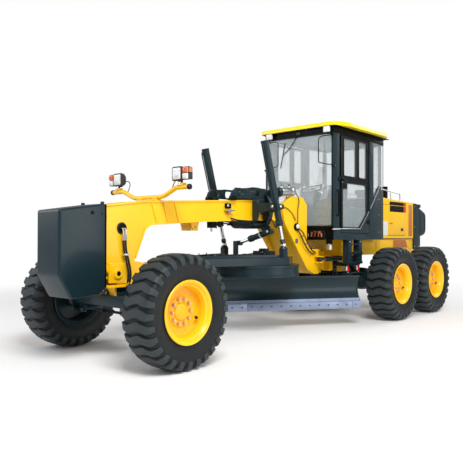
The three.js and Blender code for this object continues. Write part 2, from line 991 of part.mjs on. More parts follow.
function engineBlock() {
  return wide(railHalfWidth - railWidth - 5, 6250, 7400, railBottom + 60, 2080).add(
    wide(railHalfWidth - railWidth - seatGap, 6350, 6450, railBottom + 60, railTop - 60),
  );
}

piece(machine, "rear_frame", rearFrame(), "yellow");
piece(machine, "rear_axle", rearAxle(), "dark");
for (const [word, side] of sides) piece(machine, `tandem_case_${word}`, tandemCase(side), "dark");
piece(machine, "engine_block", engineBlock(), "dark");

// ---------- hood and rear guard ----------
function hood() {
  const shell = (inset) =>
    sidePlate(
      [
        [hoodFront + inset, hoodBottom - inset],
        [hoodFront + inset, hoodTopFront - inset],
        [hoodBack - inset, hoodTopBack - inset],
        [hoodBack - inset, hoodBottom - inset],
      ],
      -hoodHalfWidth + inset,
      hoodHalfWidth - inset,
    );
  const doorways = wide(
    hoodHalfWidth + 10,
    hoodDoorFront - 4,
    hoodDoorBack + 4,
    hoodDoorBottom - 4,
    hoodDoorTop + 4,
  );
  return cut(shell(0), shell(hoodWall), doorways);
}

const hoodDoor = (side) =>
  sideBox(
    side,
    hoodHalfWidth - hoodWall,
    hoodHalfWidth,
    hoodDoorFront,
    hoodDoorBack - seatGap + 4,
    hoodDoorBottom,
    hoodDoorTop,
  );

function rearGuard() {
  const front = hoodBack + seatGap;
  return sidePlate(
    [
      [front, 1250],
      [front, hoodTopBack - 30],
      [front + 60, hoodTopBack - 15],
      [guardBack - 120, hoodTopBack - 60],
      [guardBack, hoodTopBack - 200],
      [guardBack, 1420],
      [guardBack - 130, 1250],
    ],
    -hoodHalfWidth - 30,
    hoodHalfWidth + 30,
  );
}

piece(machine, "hood", hood(), "yellow");
for (const [word, side] of sides) piece(machine, `hood_door_${word}`, hoodDoor(side), "yellow");
piece(machine, "rear_guard", rearGuard(), "dark");

// ---------- cab ----------
const cabOutline = (inset) => [
  [cabFrontHalfWidth - inset, cabFront + inset],
  [cabHalfWidth - inset, doorFront + inset],
  [cabHalfWidth - inset, cabCorner],
  [cabBackHalfWidth - inset, cabBack - inset],
  [-cabBackHalfWidth + inset, cabBack - inset],
  [-cabHalfWidth + inset, cabCorner],
  [-cabHalfWidth + inset, doorFront + inset],
  [-cabFrontHalfWidth + inset, cabFront + inset],
];
const doorway = (side) =>
  sideBox(
    side,
    cabHalfWidth - 2.5 * cabWall,
    cabHalfWidth + 20,
    doorFront - doorGap,
    doorBack + seatGap,
    doorBottom - doorGap,
    doorTop + doorGap,
  );

function cabBase() {
  const tub = flatPlate(cabOutline(0), cabBaseBottom, cabSill);
  const inside = flatPlate(cabOutline(cabWall), cabFloor, cabSill + 20);
  const cheeks = sides.map(([, side]) =>
    sidePlate(
      [
        [cheekFront, cabSill - 10],
        [cheekFront, 2030],
        [cheekBack, cheekTop],
        [cheekBack, cabSill - 10],
      ],
      side > 0 ? cabHalfWidth - cabWall : -cabHalfWidth,
      side > 0 ? cabHalfWidth : -cabHalfWidth + cabWall,
    ),
  );
  const feet = sides.map(([, side]) =>
    sideBox(side, railHalfWidth - railWidth, railHalfWidth, 4800, 5600, railTop + seatGap, cabBaseBottom + 5),
  );
  const trimmedCheeks = cheeks.map((cheek) =>
    cheek.intersect(flatPlate(cabOutline(0), cabSill - 20, cheekTop + 60)),
  );
  return join(
    cut(tub, inside, ...sides.map(([, side]) => doorway(side))),
    ...trimmedCheeks,
    ...feet,
  );
}

function cabFrame() {
  const bottom = cabSill + seatGap;
  const shell = cut(
    flatPlate(cabOutline(0), bottom, headerTop),
    flatPlate(cabOutline(cabWall), bottom - 20, headerTop + 20),
  );
  const windows = [
    wide(cabFrontHalfWidth - 75, cabFront - 50, cabFront + cabWall + 60, bottom - 10, cabPostTop),
    wide(cabBackHalfWidth - 60, cabBack - cabWall - 60, cabBack + 50, 2250, cabPostTop),
    ...sides.map(([, side]) =>
      sideBox(side, cabBackHalfWidth - 30, cabHalfWidth + 50, doorBack + 190, cabBack - 90, 2460, cabPostTop),
    ),
    ...sides.map(([, side]) => doorway(side)),
  ];
  const cheekRoom = sides.map(([, side]) =>
    sideBox(
      side,
      cabHalfWidth - cabWall - seatGap,
      cabHalfWidth + 20,
      cheekFront - seatGap,
      cheekBack + seatGap,
      bottom - 10,
      cheekTop + seatGap,
    ),
  );
  return cut(shell, ...windows, ...cheekRoom);
}

function cabRoof() {
  const inset = 40;
  const bottomZ = headerTop + seatGap;
  const plan = (grow, z0, z1) =>
    flatPlate(
      [
        [roofHalfWidth - 110 + grow, roofFront - grow],
        [roofHalfWidth + grow, roofFront + 330],
        [roofHalfWidth + grow, roofBack - 300],
        [roofHalfWidth - 200 + grow, roofBack + grow],
        [-roofHalfWidth + 200 - grow, roofBack + grow],
        [-roofHalfWidth - grow, roofBack - 300],
        [-roofHalfWidth - grow, roofFront + 330],
        [-roofHalfWidth + 110 - grow, roofFront - grow],
      ],
      z0,
      z1,
    );
  return join(plan(0, bottomZ, roofTop - 35), plan(-inset, bottomZ + 10, roofTop));
}

function cabDoor(side) {
  const panel = sideBox(
    side,
    cabHalfWidth - cabWall,
    cabHalfWidth,
    doorFront,
    doorBack,
    doorBottom,
    doorTop,
  );
  const through = (points) =>
    sidePlate(points, side > 0 ? 0 : -cabHalfWidth - 10, side > 0 ? cabHalfWidth + 10 : 0);
  const frontPane = through([
    [4310, 2620],
    [4310, 3245],
    [5090, 3245],
    [5090, 2620],
  ]);
  const lowPane = through([
    [4290, 1770],
    [4290, 2460],
    [5090, 2460],
    [5090, 1960],
    [4900, 1770],
  ]);
  return cut(panel, frontPane, lowPane);
}

function doorGlass(side) {
  const inner = cabHalfWidth - cabWall / 2 - glassThickness / 2;
  const pane = (points) =>
    sidePlate(points, side > 0 ? inner : -inner - glassThickness, side > 0 ? inner + glassThickness : -inner);
  return pane([
    [4310 + seatGap, 2620 + seatGap],
    [4310 + seatGap, 3245 - seatGap],
    [5090 - seatGap, 3245 - seatGap],
    [5090 - seatGap, 2620 + seatGap],
  ]);
}

function windscreen() {
  return wide(
    cabFrontHalfWidth - 75 - seatGap,
    cabFront + 20,
    cabFront + 20 + glassThickness,
    cabSill + 2 * seatGap,
    cabPostTop - seatGap,
  );
}

function rearWindow() {
  return wide(
    cabBackHalfWidth - 60 - seatGap,
    cabBack - 30,
    cabBack - 30 + glassThickness,
    2250 + seatGap,
    cabPostTop - seatGap,
  );
}

function seat() {
  const place = 4980;
  const base = wide(170, place - 150, place + 170, cabFloor + seatGap, cabFloor + 330);
  const cushion = wide(250, place - 260, place + 240, cabFloor + 320, cabFloor + 460);
  const back = sidePlate(
    [
      [place + 190, cabFloor + 440],
      [place + 300, cabFloor + 1050],
      [place + 380, cabFloor + 1050],
      [place + 310, cabFloor + 440],
    ],
    -240,
    240,
  );
  return join(base, cushion, back);
}

function steeringConsole() {
  const place = 4280;
  const column = sidePlate(
    [
      [place - 60, cabFloor + seatGap],
      [place + 90, cabFloor + seatGap],
      [place + 190, cabFloor + 820],
      [place + 110, cabFloor + 850],
    ],
    -90,
    90,
  );
  const hub = new THREE.Vector3(0, place + 165, cabFloor + 870);
  const wheelAxis = new THREE.Vector3(0, 0.35, 0.94).normalize();
  const from = hub.clone().addScaledVector(wheelAxis, -60);
  const to = hub.clone().addScaledVector(wheelAxis, 20);
  const disc = bar(hub.toArray(), to.toArray(), 205, 20);
  return join(column, bar(from.toArray(), to.toArray(), 45), disc);
}

piece(machine, "cab_base", cabBase(), "dark");
piece(machine, "cab_frame", cabFrame(), "dark");
piece(machine, "cab_roof", cabRoof(), "yellow");
piece(machine, "windscreen", windscreen(), "glass");
piece(machine, "rear_window", rearWindow(), "glass");
for (const [word, side] of sides) {
  piece(machine, `cab_door_${word}`, cabDoor(side), "dark");
  piece(machine, `door_glass_${word}`, doorGlass(side), "glass");
}
piece(machine, "seat", seat(), "fabric");
piece(machine, "steering_console", steeringConsole(), "plastic");

// ---------- steps ----------
function steps(side) {
  const front = stepFront;
  const stringers = [front, front + 420].map((y) =>
    sideBox(side, 640, 700, y, y + 50, 930, cabBaseBottom - seatGap),
  );
  const treads = [960, 1220].map((z) =>
    sideBox(side, stepOuter - 180, stepOuter, front, front + 470, z, z + 40),
  );
  return join(...stringers, ...treads);
}
for (const [word, side] of sides) piece(machine, `steps_${word}`, steps(side), "dark");

export default group;
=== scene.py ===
import bpy
import bmesh
import math
import random
from mathutils import Matrix, Vector


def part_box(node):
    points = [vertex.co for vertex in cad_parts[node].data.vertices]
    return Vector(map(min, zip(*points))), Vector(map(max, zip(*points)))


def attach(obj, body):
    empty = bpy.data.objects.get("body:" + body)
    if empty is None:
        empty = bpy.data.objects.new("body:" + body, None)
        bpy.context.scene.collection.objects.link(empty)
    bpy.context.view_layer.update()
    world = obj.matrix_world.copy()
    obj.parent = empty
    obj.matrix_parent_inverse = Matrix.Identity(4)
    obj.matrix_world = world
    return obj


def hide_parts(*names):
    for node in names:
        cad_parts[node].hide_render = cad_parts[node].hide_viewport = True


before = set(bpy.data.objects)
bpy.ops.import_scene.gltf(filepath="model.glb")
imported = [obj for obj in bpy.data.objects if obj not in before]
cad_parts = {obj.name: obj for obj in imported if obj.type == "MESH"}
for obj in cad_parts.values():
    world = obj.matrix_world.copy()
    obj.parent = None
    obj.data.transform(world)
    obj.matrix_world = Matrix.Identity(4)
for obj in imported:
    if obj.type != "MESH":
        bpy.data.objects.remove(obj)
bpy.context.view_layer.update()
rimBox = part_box("front_left_rim")
frontAxleY = (rimBox[0].y + rimBox[1].y) / 2
axleZ = (rimBox[0].z + rimBox[1].z) / 2
sides = (("left", 1), ("right", -1))
random.seed(7)


# x is left of the centre line, back is the distance behind the front axle, z the height
def place(x, back, z):
    return Vector((x, frontAxleY + back, z))


cameraValues = {
    "position": (5.956, -8.168, 1.521),
    "direction": (-0.665, 0.747, 0.0094),
    "rollDegrees": 0.13,
    "lens": 44.65,
}


def makeCamera():
    data = bpy.data.cameras.new("camera")
    data.sensor_width = 36
    data.lens = cameraValues["lens"]
    data.clip_end = 200
    camera = bpy.data.objects.new("camera", data)
    bpy.context.scene.collection.objects.link(camera)
    camera.location = cameraValues["position"]
    turn = Vector(cameraValues["direction"]).to_track_quat("-Z", "Y").to_matrix().to_4x4()
    roll = Matrix.Rotation(math.radians(cameraValues["rollDegrees"]), 4, "Z")
    camera.rotation_euler = (turn @ roll).to_euler()
    bpy.context.scene.camera = camera


makeCamera()


class Socket:
    # one value in a material's node tree, used in ordinary expressions
    def __init__(self, finish, link):
        self.finish, self.link = finish, link

    def maths(self, operation, *values):
        return self.finish.node("ShaderNodeMath", {"operation": operation}, *values)

    def __add__(self, other):
        return self.maths("ADD", self, other)

    __radd__ = __add__

    def __sub__(self, other):
        return self.maths("SUBTRACT", self, other)

    def __rsub__(self, other):
        return self.maths("SUBTRACT", other, self)

    def __mul__(self, other):
        return self.maths("MULTIPLY", self, other)

    __rmul__ = __mul__

    def __gt__(self, other):
        return self.maths("GREATER_THAN", self, other)

    def __lt__(self, other):
        return self.maths("LESS_THAN", self, other)


class Finish:
    # a material whose nodes are made by one method
    def __init__(self, name, **shader):
        self.material = bpy.data.materials.new(name)
        self.material.use_nodes = True
        self.tree = self.material.node_tree
        self.shader = next(n for n in self.tree.nodes if n.type == "BSDF_PRINCIPLED")
        self.set(self.shader, shader)
        self.surface = self.node("ShaderNodeTexCoord", output="Object")

    def set(self, node, values):
        for key, value in values.items():
            socket = node.inputs[key]
            if isinstance(value, Socket):
                self.tree.links.new(value.link, socket)
            elif hasattr(value, "__len__") and socket.type == "RGBA" and len(value) == 3:
                socket.default_value = (*value, 1)
            else:
                socket.default_value = value

    def node(self, kind, settings=None, *values, output=0, **named):
        made = self.tree.nodes.new(kind)
        for key, value in (settings or {}).items():
            if key == "stops":
                ramp = made.color_ramp
                while len(ramp.elements) < len(value):
                    ramp.elements.new(0.5)
                for element, (at, color) in zip(ramp.elements, value):
                    element.position, element.color = at, (*color, 1)
            else:
                setattr(made, key, value)
        self.set(made, dict(enumerate(values)))
        self.set(made, {key.replace("_", " "): value for key, value in named.items()})
        return Socket(self, made.outputs[output])

    def noise(self, scale, detail=3, roughness=0.5, vector=None):
        return self.node("ShaderNodeTexNoise", None, Vector=vector or self.surface, Scale=scale,
                         Detail=detail, Roughness=roughness)

    def mix(self, share, first, second):
        node = self.tree.nodes.new("ShaderNodeMix")
        node.data_type = "RGBA"
        for socket, value in ((node.inputs[0], share), (node.inputs[6], first), (node.inputs[7], second)):
            if isinstance(value, Socket):
                self.tree.links.new(value.link, socket)
            else:
                socket.default_value = (*value, 1) if hasattr(value, "__len__") else value
        return Socket(self, node.outputs[2])

    def ramp(self, value, *stops):
        return self.node("ShaderNodeValToRGB", {"stops": [(at, (v, v, v)) for at, v in stops]}, value)

    def height(self):
        geometry = self.node("ShaderNodeSeparateXYZ", None, self.surface, output=2)
        return geometry

    def upward(self):
        normal = self.node("ShaderNodeNewGeometry", output="Normal")
        return self.node("ShaderNodeSeparateXYZ", None, normal, output=2)

    def bump(self, height, distance, strength=1.0):
        made = self.node("ShaderNodeBump", None, Strength=strength, Distance=distance, Height=height)
        self.set(self.shader, {"Normal": made})

    def done(self, **shader):
        self.set(self.shader, shader)
        return self.material


paintValues = {
    "yellow": (0.97, 0.56, 0.003),
    "yellowWarm": (0.93, 0.45, 0.003),
    "dark": (0.0055, 0.020, 0.027),
    "darkFaded": (0.009, 0.027, 0.034),
    "dust": (0.30, 0.26, 0.20),
}


def paint(name, color, second, roughness, dustShare, gloss=0.5, coat=0.25):
    f = Finish(name, **{"IOR": 1.5, "Specular IOR Level": gloss})
    patches = f.ramp(f.noise(2.2, 4), (0.35, 0.0), (0.72, 1.0))
    base = f.mix(patches * 0.35, color, second)
    low = f.ramp(f.height(), (0.25, 1.0), (0.95, 0.0))
    dust = f.ramp(f.noise(14, 6, 0.65), (0.48, 0.0), (0.72, 1.0)) * low
    settled = f.ramp(f.upward(), (0.6, 0.0), (1.0, 1.0)) * f.ramp(f.noise(5, 5), (0.45, 0.0), (0.7, 1.0))
    cover = (dust + settled * 0.5) * dustShare
    specks = f.ramp(f.noise(160, 2), (0.70, 0.0), (0.76, 1.0)) * dustShare
    f.bump(f.noise(420, 2) * 0.4 + f.noise(30, 3), 0.0006, 0.35)
    return f.done(**{
        "Base Color": f.mix(cover + specks * 0.3, base, paintValues["dust"]),
        "Roughness": roughness + cover * 0.35 + f.noise(9, 4) * 0.10,
        "Coat Weight": coat, "Coat Roughness": 0.12,
    })


def rubber(name, color, second, roughness, dustShare):
    f = Finish(name, **{"IOR": 1.45, "Specular IOR Level": 0.35})
    patches = f.noise(7, 5, 0.6)
    low = f.ramp(f.noise(26, 6, 0.7), (0.50, 0.0), (0.75, 1.0))
    f.bump(f.noise(240, 4, 0.6) + f.noise(55, 4) * 0.7, 0.0016, 0.5)
    return f.done(**{
        "Base Color": f.mix(low * dustShare, f.mix(patches, color, second), paintValues["dust"]),
        "Roughness": roughness + f.noise(18, 4) * 0.16,
    })


def metal(name, color, second, roughness, stretch=(1, 1, 1), grain=60):
    f = Finish(name, Metallic=1.0)
    mapping = f.node("ShaderNodeMapping", None, Vector=f.surface, Scale=stretch)
    lines = f.noise(grain, 4, 0.6, mapping)
    stain = f.ramp(f.noise(6, 5), (0.4, 0.0), (0.75, 1.0))
    f.bump(lines, 0.0005, 0.3)
    return f.done(**{
        "Base Color": f.mix(stain * 0.6, color, second),
        "Roughness": roughness + lines * 0.12 + stain * 0.08,
    })


def plastic(name, color, roughness, emission=None, coat=0.0, grain=300):
    f = Finish(name, IOR=1.46)
    f.bump(f.noise(grain, 2), 0.0004, 0.4)
    tone = f.mix(f.noise(20, 3) * 0.25, color, tuple(0.7 * c + 0.02 for c in color))
    values = {"Base Color": tone, "Roughness": roughness + f.noise(40, 2) * 0.06, "Coat Weight": coat}
    if emission:
        values.update({"Emission Color": emission, "Emission Strength": 0.35})
    return f.done(**values)


def lens(name, color, ribs):
    # moulded lens: fine ribs across a glossy face
    f = Finish(name, IOR=1.5)
    wave = f.node("ShaderNodeTexWave", {"bands_direction": "X"}, Vector=f.surface, Scale=ribs, Distortion=0.2)
    cells = f.node("ShaderNodeTexVoronoi", None, Vector=f.surface, Scale=ribs * 1.5)
    f.bump(wave + cells * 0.5, 0.002, 0.6)
    return f.done(**{"Base Color": f.mix(cells * 0.5, color, tuple(0.6 * c for c in color)),
                     "Roughness": 0.08 + wave * 0.10, "Coat Weight": 1.0, "Coat Roughness": 0.03})


def glass(name, color, alpha):
    f = Finish(name, IOR=1.5, Roughness=0.03)
    # a whitish haze, varied by noise, stands in for reflections on the glass: painted reflection
    reflectionHaze = f.ramp(f.noise(1.6, 3, 0.5), (0.3, 0.0), (0.8, 1.0))
    f.material.surface_render_method = "BLENDED"
    return f.done(**{"Base Color": f.mix(reflectionHaze * 0.25, color, (0.82, 0.88, 0.90)),
                     "Roughness": 0.03 + reflectionHaze * 0.04, "Alpha": alpha + reflectionHaze * 0.05,
                     "Coat Weight": 1.0, "Coat Roughness": 0.02})


def cloth(name, color):
    f = Finish(name, IOR=1.45)
    warp = f.node("ShaderNodeTexWave", {"bands_direction": "X"}, Vector=f.surface, Scale=110)
    weft = f.node("ShaderNodeTexWave", {"bands_direction": "Z"}, Vector=f.surface, Scale=110)
    weave = warp * weft
    f.bump(weave + f.noise(260, 3) * 0.4, 0.0012, 0.7)
    return f.done(**{"Base Color": f.mix(weave, color, tuple(2.4 * c for c in color)),
                     "Roughness": 0.85 + weave * 0.1, "Sheen Weight": 0.3})


finishes = {
    "yellow": paint("yellowPaint", paintValues["yellow"], paintValues["yellowWarm"], 0.28, 0.07, 0.4, 0.15),
    "dark": paint("darkPaint", paintValues["dark"], paintValues["darkFaded"], 0.30, 0.03, 0.28, 0.10),
    # the roof's lighter lemon yellow is painted light: the top-lit tone of the yellow paint
    "roofLitYellow": paint("roofPaintedLight", (0.98, 0.74, 0.003), (0.96, 0.64, 0.003), 0.28, 0.06, 0.4, 0.15),
    # rim paint for the barrel and disc: a deeper orange than the yellow flange, painted shade for the wheel's
    # recess
    "rim": paint("rimPaintedShade", (0.96, 0.47, 0.003), (0.90, 0.34, 0.003), 0.32, 0.10, 0.35, 0.10),
    "black": paint("blackPaint", (0.0012, 0.0022, 0.0028), (0.0025, 0.0035, 0.0042), 0.40, 0.0, 0.12, 0.0),
    "tyre": rubber("tyreRubber", (0.0030, 0.0048, 0.0058), (0.007, 0.010, 0.012), 0.42, 0.03),
    # lugs get a lighter blue-grey rubber than the carcass: painted highlight on the tread
    "tread": rubber("treadRubberPaintedHighlight", (0.020, 0.028, 0.033), (0.034, 0.044, 0.050), 0.46, 0.05),
    "hose": rubber("hoseRubber", (0.008, 0.009, 0.010), (0.016, 0.018, 0.020), 0.38, 0.02),
    "seal": rubber("sealRubber", (0.006, 0.007, 0.008), (0.012, 0.013, 0.014), 0.45, 0.0),
    "steel": metal("machinedSteel", (0.62, 0.63, 0.65), (0.42, 0.41, 0.40), 0.26),
    "edge": metal("wearSteel", (0.25, 0.30, 0.42), (0.19, 0.22, 0.31), 0.40, (1, 1, 14), 22),
    "chrome": metal("chromePlate", (0.86, 0.87, 0.89), (0.78, 0.79, 0.80), 0.06, grain=8),
    "cast": metal("oiledSteel", (0.10, 0.11, 0.12), (0.06, 0.06, 0.06), 0.42),
    # pale tint and raised alpha: the glass's own pale blue tint plus painted reflection
    "glass": glass("cabGlass", (0.60, 0.70, 0.74), 0.24),
    "plastic": plastic("blackPlastic", (0.016, 0.018, 0.020), 0.48),
    "trim": plastic("greyTrim", (0.10, 0.12, 0.13), 0.6),
    "white": plastic("whitePlastic", (0.78, 0.80, 0.80), 0.35, coat=0.4),
    "lamp": lens("lampLens", (0.86, 0.88, 0.90), 60),
    "amber": lens("amberLens", (0.90, 0.17, 0.02), 90),
    "red": lens("redLens", (0.72, 0.012, 0.010), 90),
    # darker orange paint for recessed panels and louvres: painted shade of the yellow paint
    "rust": paint("orangePaintedShade", (0.52, 0.15, 0.012), (0.42, 0.11, 0.010), 0.40, 0.05),
    "redStripe": plastic("redFilm", (0.60, 0.012, 0.025), 0.35, coat=0.5),
    "copper": metal("copperFitting", (0.75, 0.28, 0.13), (0.50, 0.15, 0.06), 0.3),
    "seat": cloth("seatCloth", (0.030, 0.033, 0.036)),
}
print("finishes made:", len(finishes))


def span(side, a, b):
    # the two ends in rising order, on either side of the machine
    return sorted((side * a, side * b))


def rounded(points, radius, steps=4):
    # an outline with each corner turned by a short curve
    made = []
    for i, corner in enumerate(points):
        p, q, r = (Vector(points[i - 1]), Vector(corner), Vector(points[(i + 1) % len(points)]))
        reach = min(radius, 0.45 * (p - q).length, 0.45 * (r - q).length)
        a, b = q + (p - q).normalized() * reach, q + (r - q).normalized() * reach
        for k in range(steps + 1):
            t = k / steps
            made.append(tuple(a * (1 - t) ** 2 + q * 2 * t * (1 - t) + b * t * t))
    return made


def rectangle(a0, a1, b0, b1, radius=0.0, steps=4):
    corners = [(a0, b0), (a1, b0), (a1, b1), (a0, b1)]
    return rounded(corners, radius, steps) if radius else corners


def along(line, at):
    # the value at one place of a line of (place, value) points
    for (a, p), (b, q) in zip(line, line[1:]):
        if at <= b:
            return p + (q - p) * (at - a) / (b - a)
    return line[-1][1]


def matched(outer, inner):
    # two outlines round one middle, given as many points each and their corners kept
    ca, cb = sum(p[0] for p in inner) / len(inner), sum(p[1] for p in inner) / len(inner)

    def hit(line, turn):
        da, db = math.cos(turn), math.sin(turn)
        best = 0
        for (a0, b0), (a1, b1) in zip(line, [*line[1:], line[0]]):
            ea, eb = a1 - a0, b1 - b0
            det = da * -eb + ea * db
            if abs(det) < 1e-12:
                continue
            t = ((a0 - ca) * -eb + ea * (b0 - cb)) / det
            u = (da * (b0 - cb) - db * (a0 - ca)) / det
            if t > 0 and -1e-6 <= u <= 1 + 1e-6:
                best = max(best, t)
        return ca + da * best, cb + db * best
    turns = sorted({round(math.atan2(b - cb, a - ca), 4) for a, b in [*outer, *inner]})
    return [hit(outer, t) for t in turns], [hit(inner, t) for t in turns]


def smoothPath(points, steps=8):
    # a Catmull-Rom curve through the points
    pts = [Vector(p) for p in points]
    pts = [pts[0] * 2 - pts[1], *pts, pts[-1] * 2 - pts[-2]]
    made = []
    for i in range(1, len(pts) - 2):
        p0, p1, p2, p3 = pts[i - 1:i + 3]
        for k in range(steps):
            t = k / steps
            made.append(0.5 * (2 * p1 + (p2 - p0) * t + (2 * p0 - 5 * p1 + 4 * p2 - p3) * t * t
                               + (3 * p1 - p0 - 3 * p2 + p3) * t ** 3))
    return [*made, pts[-2]]


def turnTo(direction):
    return Vector(direction).to_track_quat("Z", "Y").to_matrix().to_4x4()


class Shape:
    # closed solids gathered in one mesh, each solid with its own finish
    def __init__(self):
        self.mesh = bmesh.new()
        self.used = []

    def take(self, part, finish, bevel=0.0, segments=2, matrix=None):
        bmesh.ops.recalc_face_normals(part, faces=part.faces[:])
        if bevel:
            sharp = [e for e in part.edges if len(e.link_faces) == 2 and e.calc_face_angle(0) > 0.45]
            bmesh.ops.bevel(part, geom=sharp, offset=bevel, segments=segments, affect="EDGES",
                            profile=0.6, clamp_overlap=True)
        if matrix is not None:
            part.transform(matrix)
            bmesh.ops.recalc_face_normals(part, faces=part.faces[:])
        if finish not in self.used:
            self.used.append(finish)
        for face in part.faces:
            face.material_index = self.used.index(finish)
        copy = bpy.data.meshes.new("part")
        part.to_mesh(copy)
        self.mesh.from_mesh(copy)
        bpy.data.meshes.remove(copy)
        part.free()
        return self

    def loft(self, rings, finish, cap=True, loop=False, bevel=0.0, segments=2, matrix=None):
        part = bmesh.new()
        rows = [[part.verts.new(p) for p in ring] for ring in rings]
        for i in range(len(rows) if loop else len(rows) - 1):
            a, b = rows[i], rows[(i + 1) % len(rows)]
            for j in range(len(a)):
                k = (j + 1) % len(a)
                part.faces.new((a[j], a[k], b[k], b[j]))
        if cap and not loop:
            part.faces.new(rows[0][::-1])
            part.faces.new(rows[-1])
        return self.take(part, finish, bevel, segments, matrix)

    def prism(self, outline, axis, low, high, finish, bevel=0.004, segments=2, matrix=None):
        return self.loft([[spread(axis, a, b, at) for a, b in outline] for at in (low, high)], finish,
                         bevel=bevel, segments=segments, matrix=matrix)

    def frame(self, outer, inner, axis, low, high, finish, bevel=0.003):
        # a flat ring between two outlines with as many points each
        rings = [[spread(axis, a, b, at) for a, b in line]
                 for line, at in ((outer, low), (outer, high), (inner, high), (inner, low))]
        return self.loft(rings, finish, loop=True, bevel=bevel)

    def block(self, x0, x1, back0, back1, z0, z1, finish, bevel=0.006, segments=2):
        return self.prism([(back0, z0), (back1, z0), (back1, z1), (back0, z1)], "x", x0, x1, finish,
                          bevel, segments)

    def lathe(self, profile, finish, origin=(0, 0, 0), direction=(0, 0, 1), segments=32, bevel=0.0):
        # (radius, distance) points turned round a line
        part = bmesh.new()
        rows = []
        for i in range(segments):
            turn = 2 * math.pi * i / segments
            rows.append([part.verts.new((r * math.cos(turn), r * math.sin(turn), a)) for r, a in profile])
        for i in range(segments):
            a, b = rows[i], rows[(i + 1) % segments]
            for j in range(len(profile)):
                k = (j + 1) % len(profile)
                if profile[j][0] > 0 or profile[k][0] > 0:
                    part.faces.new((a[j], a[k], b[k], b[j]))
        bmesh.ops.remove_doubles(part, verts=part.verts[:], dist=1e-6)
        loose = [v for v in part.verts if not v.link_faces]
        bmesh.ops.delete(part, geom=loose, context="VERTS")
        return self.take(part, finish, bevel, matrix=Matrix.Translation(origin) @ turnTo(direction))

    def rod(self, start, end, radius, finish, segments=20, chamfer=0.004):
        a, b = Vector(start), Vector(end)
        long = (b - a).length
        c = min(chamfer, radius * 0.4, long * 0.4)
        profile = [(0, 0), (radius - c, 0), (radius, c), (radius, long - c), (radius - c, long), (0, long)]
        return self.lathe(profile, finish, a, b - a, segments)

    def bolt(self, at, direction, radius, height, finish, washer=True):
        matrix = Matrix.Translation(at) @ turnTo(direction)
        if washer:
            self.lathe([(0, -0.002), (radius * 1.35, -0.002), (radius * 1.35, 0.003), (0, 0.003)], finish, at,
                       direction, 14)
        ring = [(radius * math.cos(i * math.pi / 3), radius * math.sin(i * math.pi / 3)) for i in range(6)]
        inner = [(x * 0.86, y * 0.86) for x, y in ring]
        rings = [[(x, y, z) for x, y in line]
                 for line, z in ((ring, -0.001), (ring, height * 0.82), (inner, height))]
        return self.loft(rings, finish, matrix=matrix)

    def tube(self, points, radius, finish, sides=10, steps=8, closed=False):
        path = smoothPath(points, steps) if steps > 1 else [Vector(p) for p in points]
        if closed:
            path = path[:-1]
        rings, across = [], None
        for i, p in enumerate(path):
            after = path[(i + 1) % len(path)] if closed or i + 1 < len(path) else p
            before = path[i - 1] if closed or i else p
            along = (after - before).normalized()
            if across is None:
                across = along.orthogonal().normalized()
            across = (across - along * across.dot(along)).normalized()
            other = along.cross(across)
            r = radius(i / (len(path) - 1)) if callable(radius) else radius
            rings.append([p + across * (r * math.cos(2 * math.pi * k / sides))
                          + other * (r * math.sin(2 * math.pi * k / sides)) for k in range(sides)])
        return self.loft(rings, finish, loop=closed)

    def ball(self, at, radius, finish, segments=20):
        half = segments // 2
        profile = [(radius * math.sin(math.pi * i / half), -radius * math.cos(math.pi * i / half))
                   for i in range(half + 1)]
        profile[0] = (0, -radius)
        profile[-1] = (0, radius)
        return self.lathe(profile, finish, at, (0, 0, 1), segments)

    def data(self, name):
        mesh = bpy.data.meshes.new(name)
        self.mesh.to_mesh(mesh)
        self.mesh.free()
        for finish in self.used:
            mesh.materials.append(finishes[finish])
        mesh.shade_smooth()
        mesh.set_sharp_from_angle(angle=math.radians(32))
        return mesh

    def ride(self, name, body, slot, *stoodFor):
        return rideMesh(name, self.data(name), body, slot, *stoodFor)


def rideMesh(name, mesh, body, slot, *stoodFor, location=(0, 0, 0), turn=0.0):
    piece = bpy.data.objects.new(name, mesh)
    bpy.context.scene.collection.objects.link(piece)
    piece.location = location
    piece.rotation_euler = (0, 0, turn)
    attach(piece, body)
    if stoodFor:
        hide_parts(*stoodFor)
    return piece


def spread(axis, a, b, at):
    if axis == "x":
        return place(at, a, b)
    return place(a, at, b) if axis == "y" else place(a, b, at)


def dress(node, finish, bevel=0.006, segments=2):
    # a kept CAD node: its finish, and rounded edges that leave the mesh itself alone
    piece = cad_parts[node]
    mesh = piece.data
    mesh.materials.clear()
    mesh.materials.append(finishes[finish])
    if "custom_normal" in mesh.attributes:
        mesh.attributes.remove(mesh.attributes["custom_normal"])
    mesh.shade_smooth()
    weld = piece.modifiers.new("weld", "WELD")
    weld.merge_threshold = 0.00005
    merge = piece.modifiers.new("merge", "DECIMATE")
    merge.decimate_type = "DISSOLVE"
    merge.angle_limit = math.radians(2)
    if bevel:
        edge = piece.modifiers.new("edge", "BEVEL")
        edge.width, edge.segments = bevel, segments
        edge.limit_method, edge.angle_limit = "ANGLE", math.radians(28)
        edge.harden_normals = True
    return piece


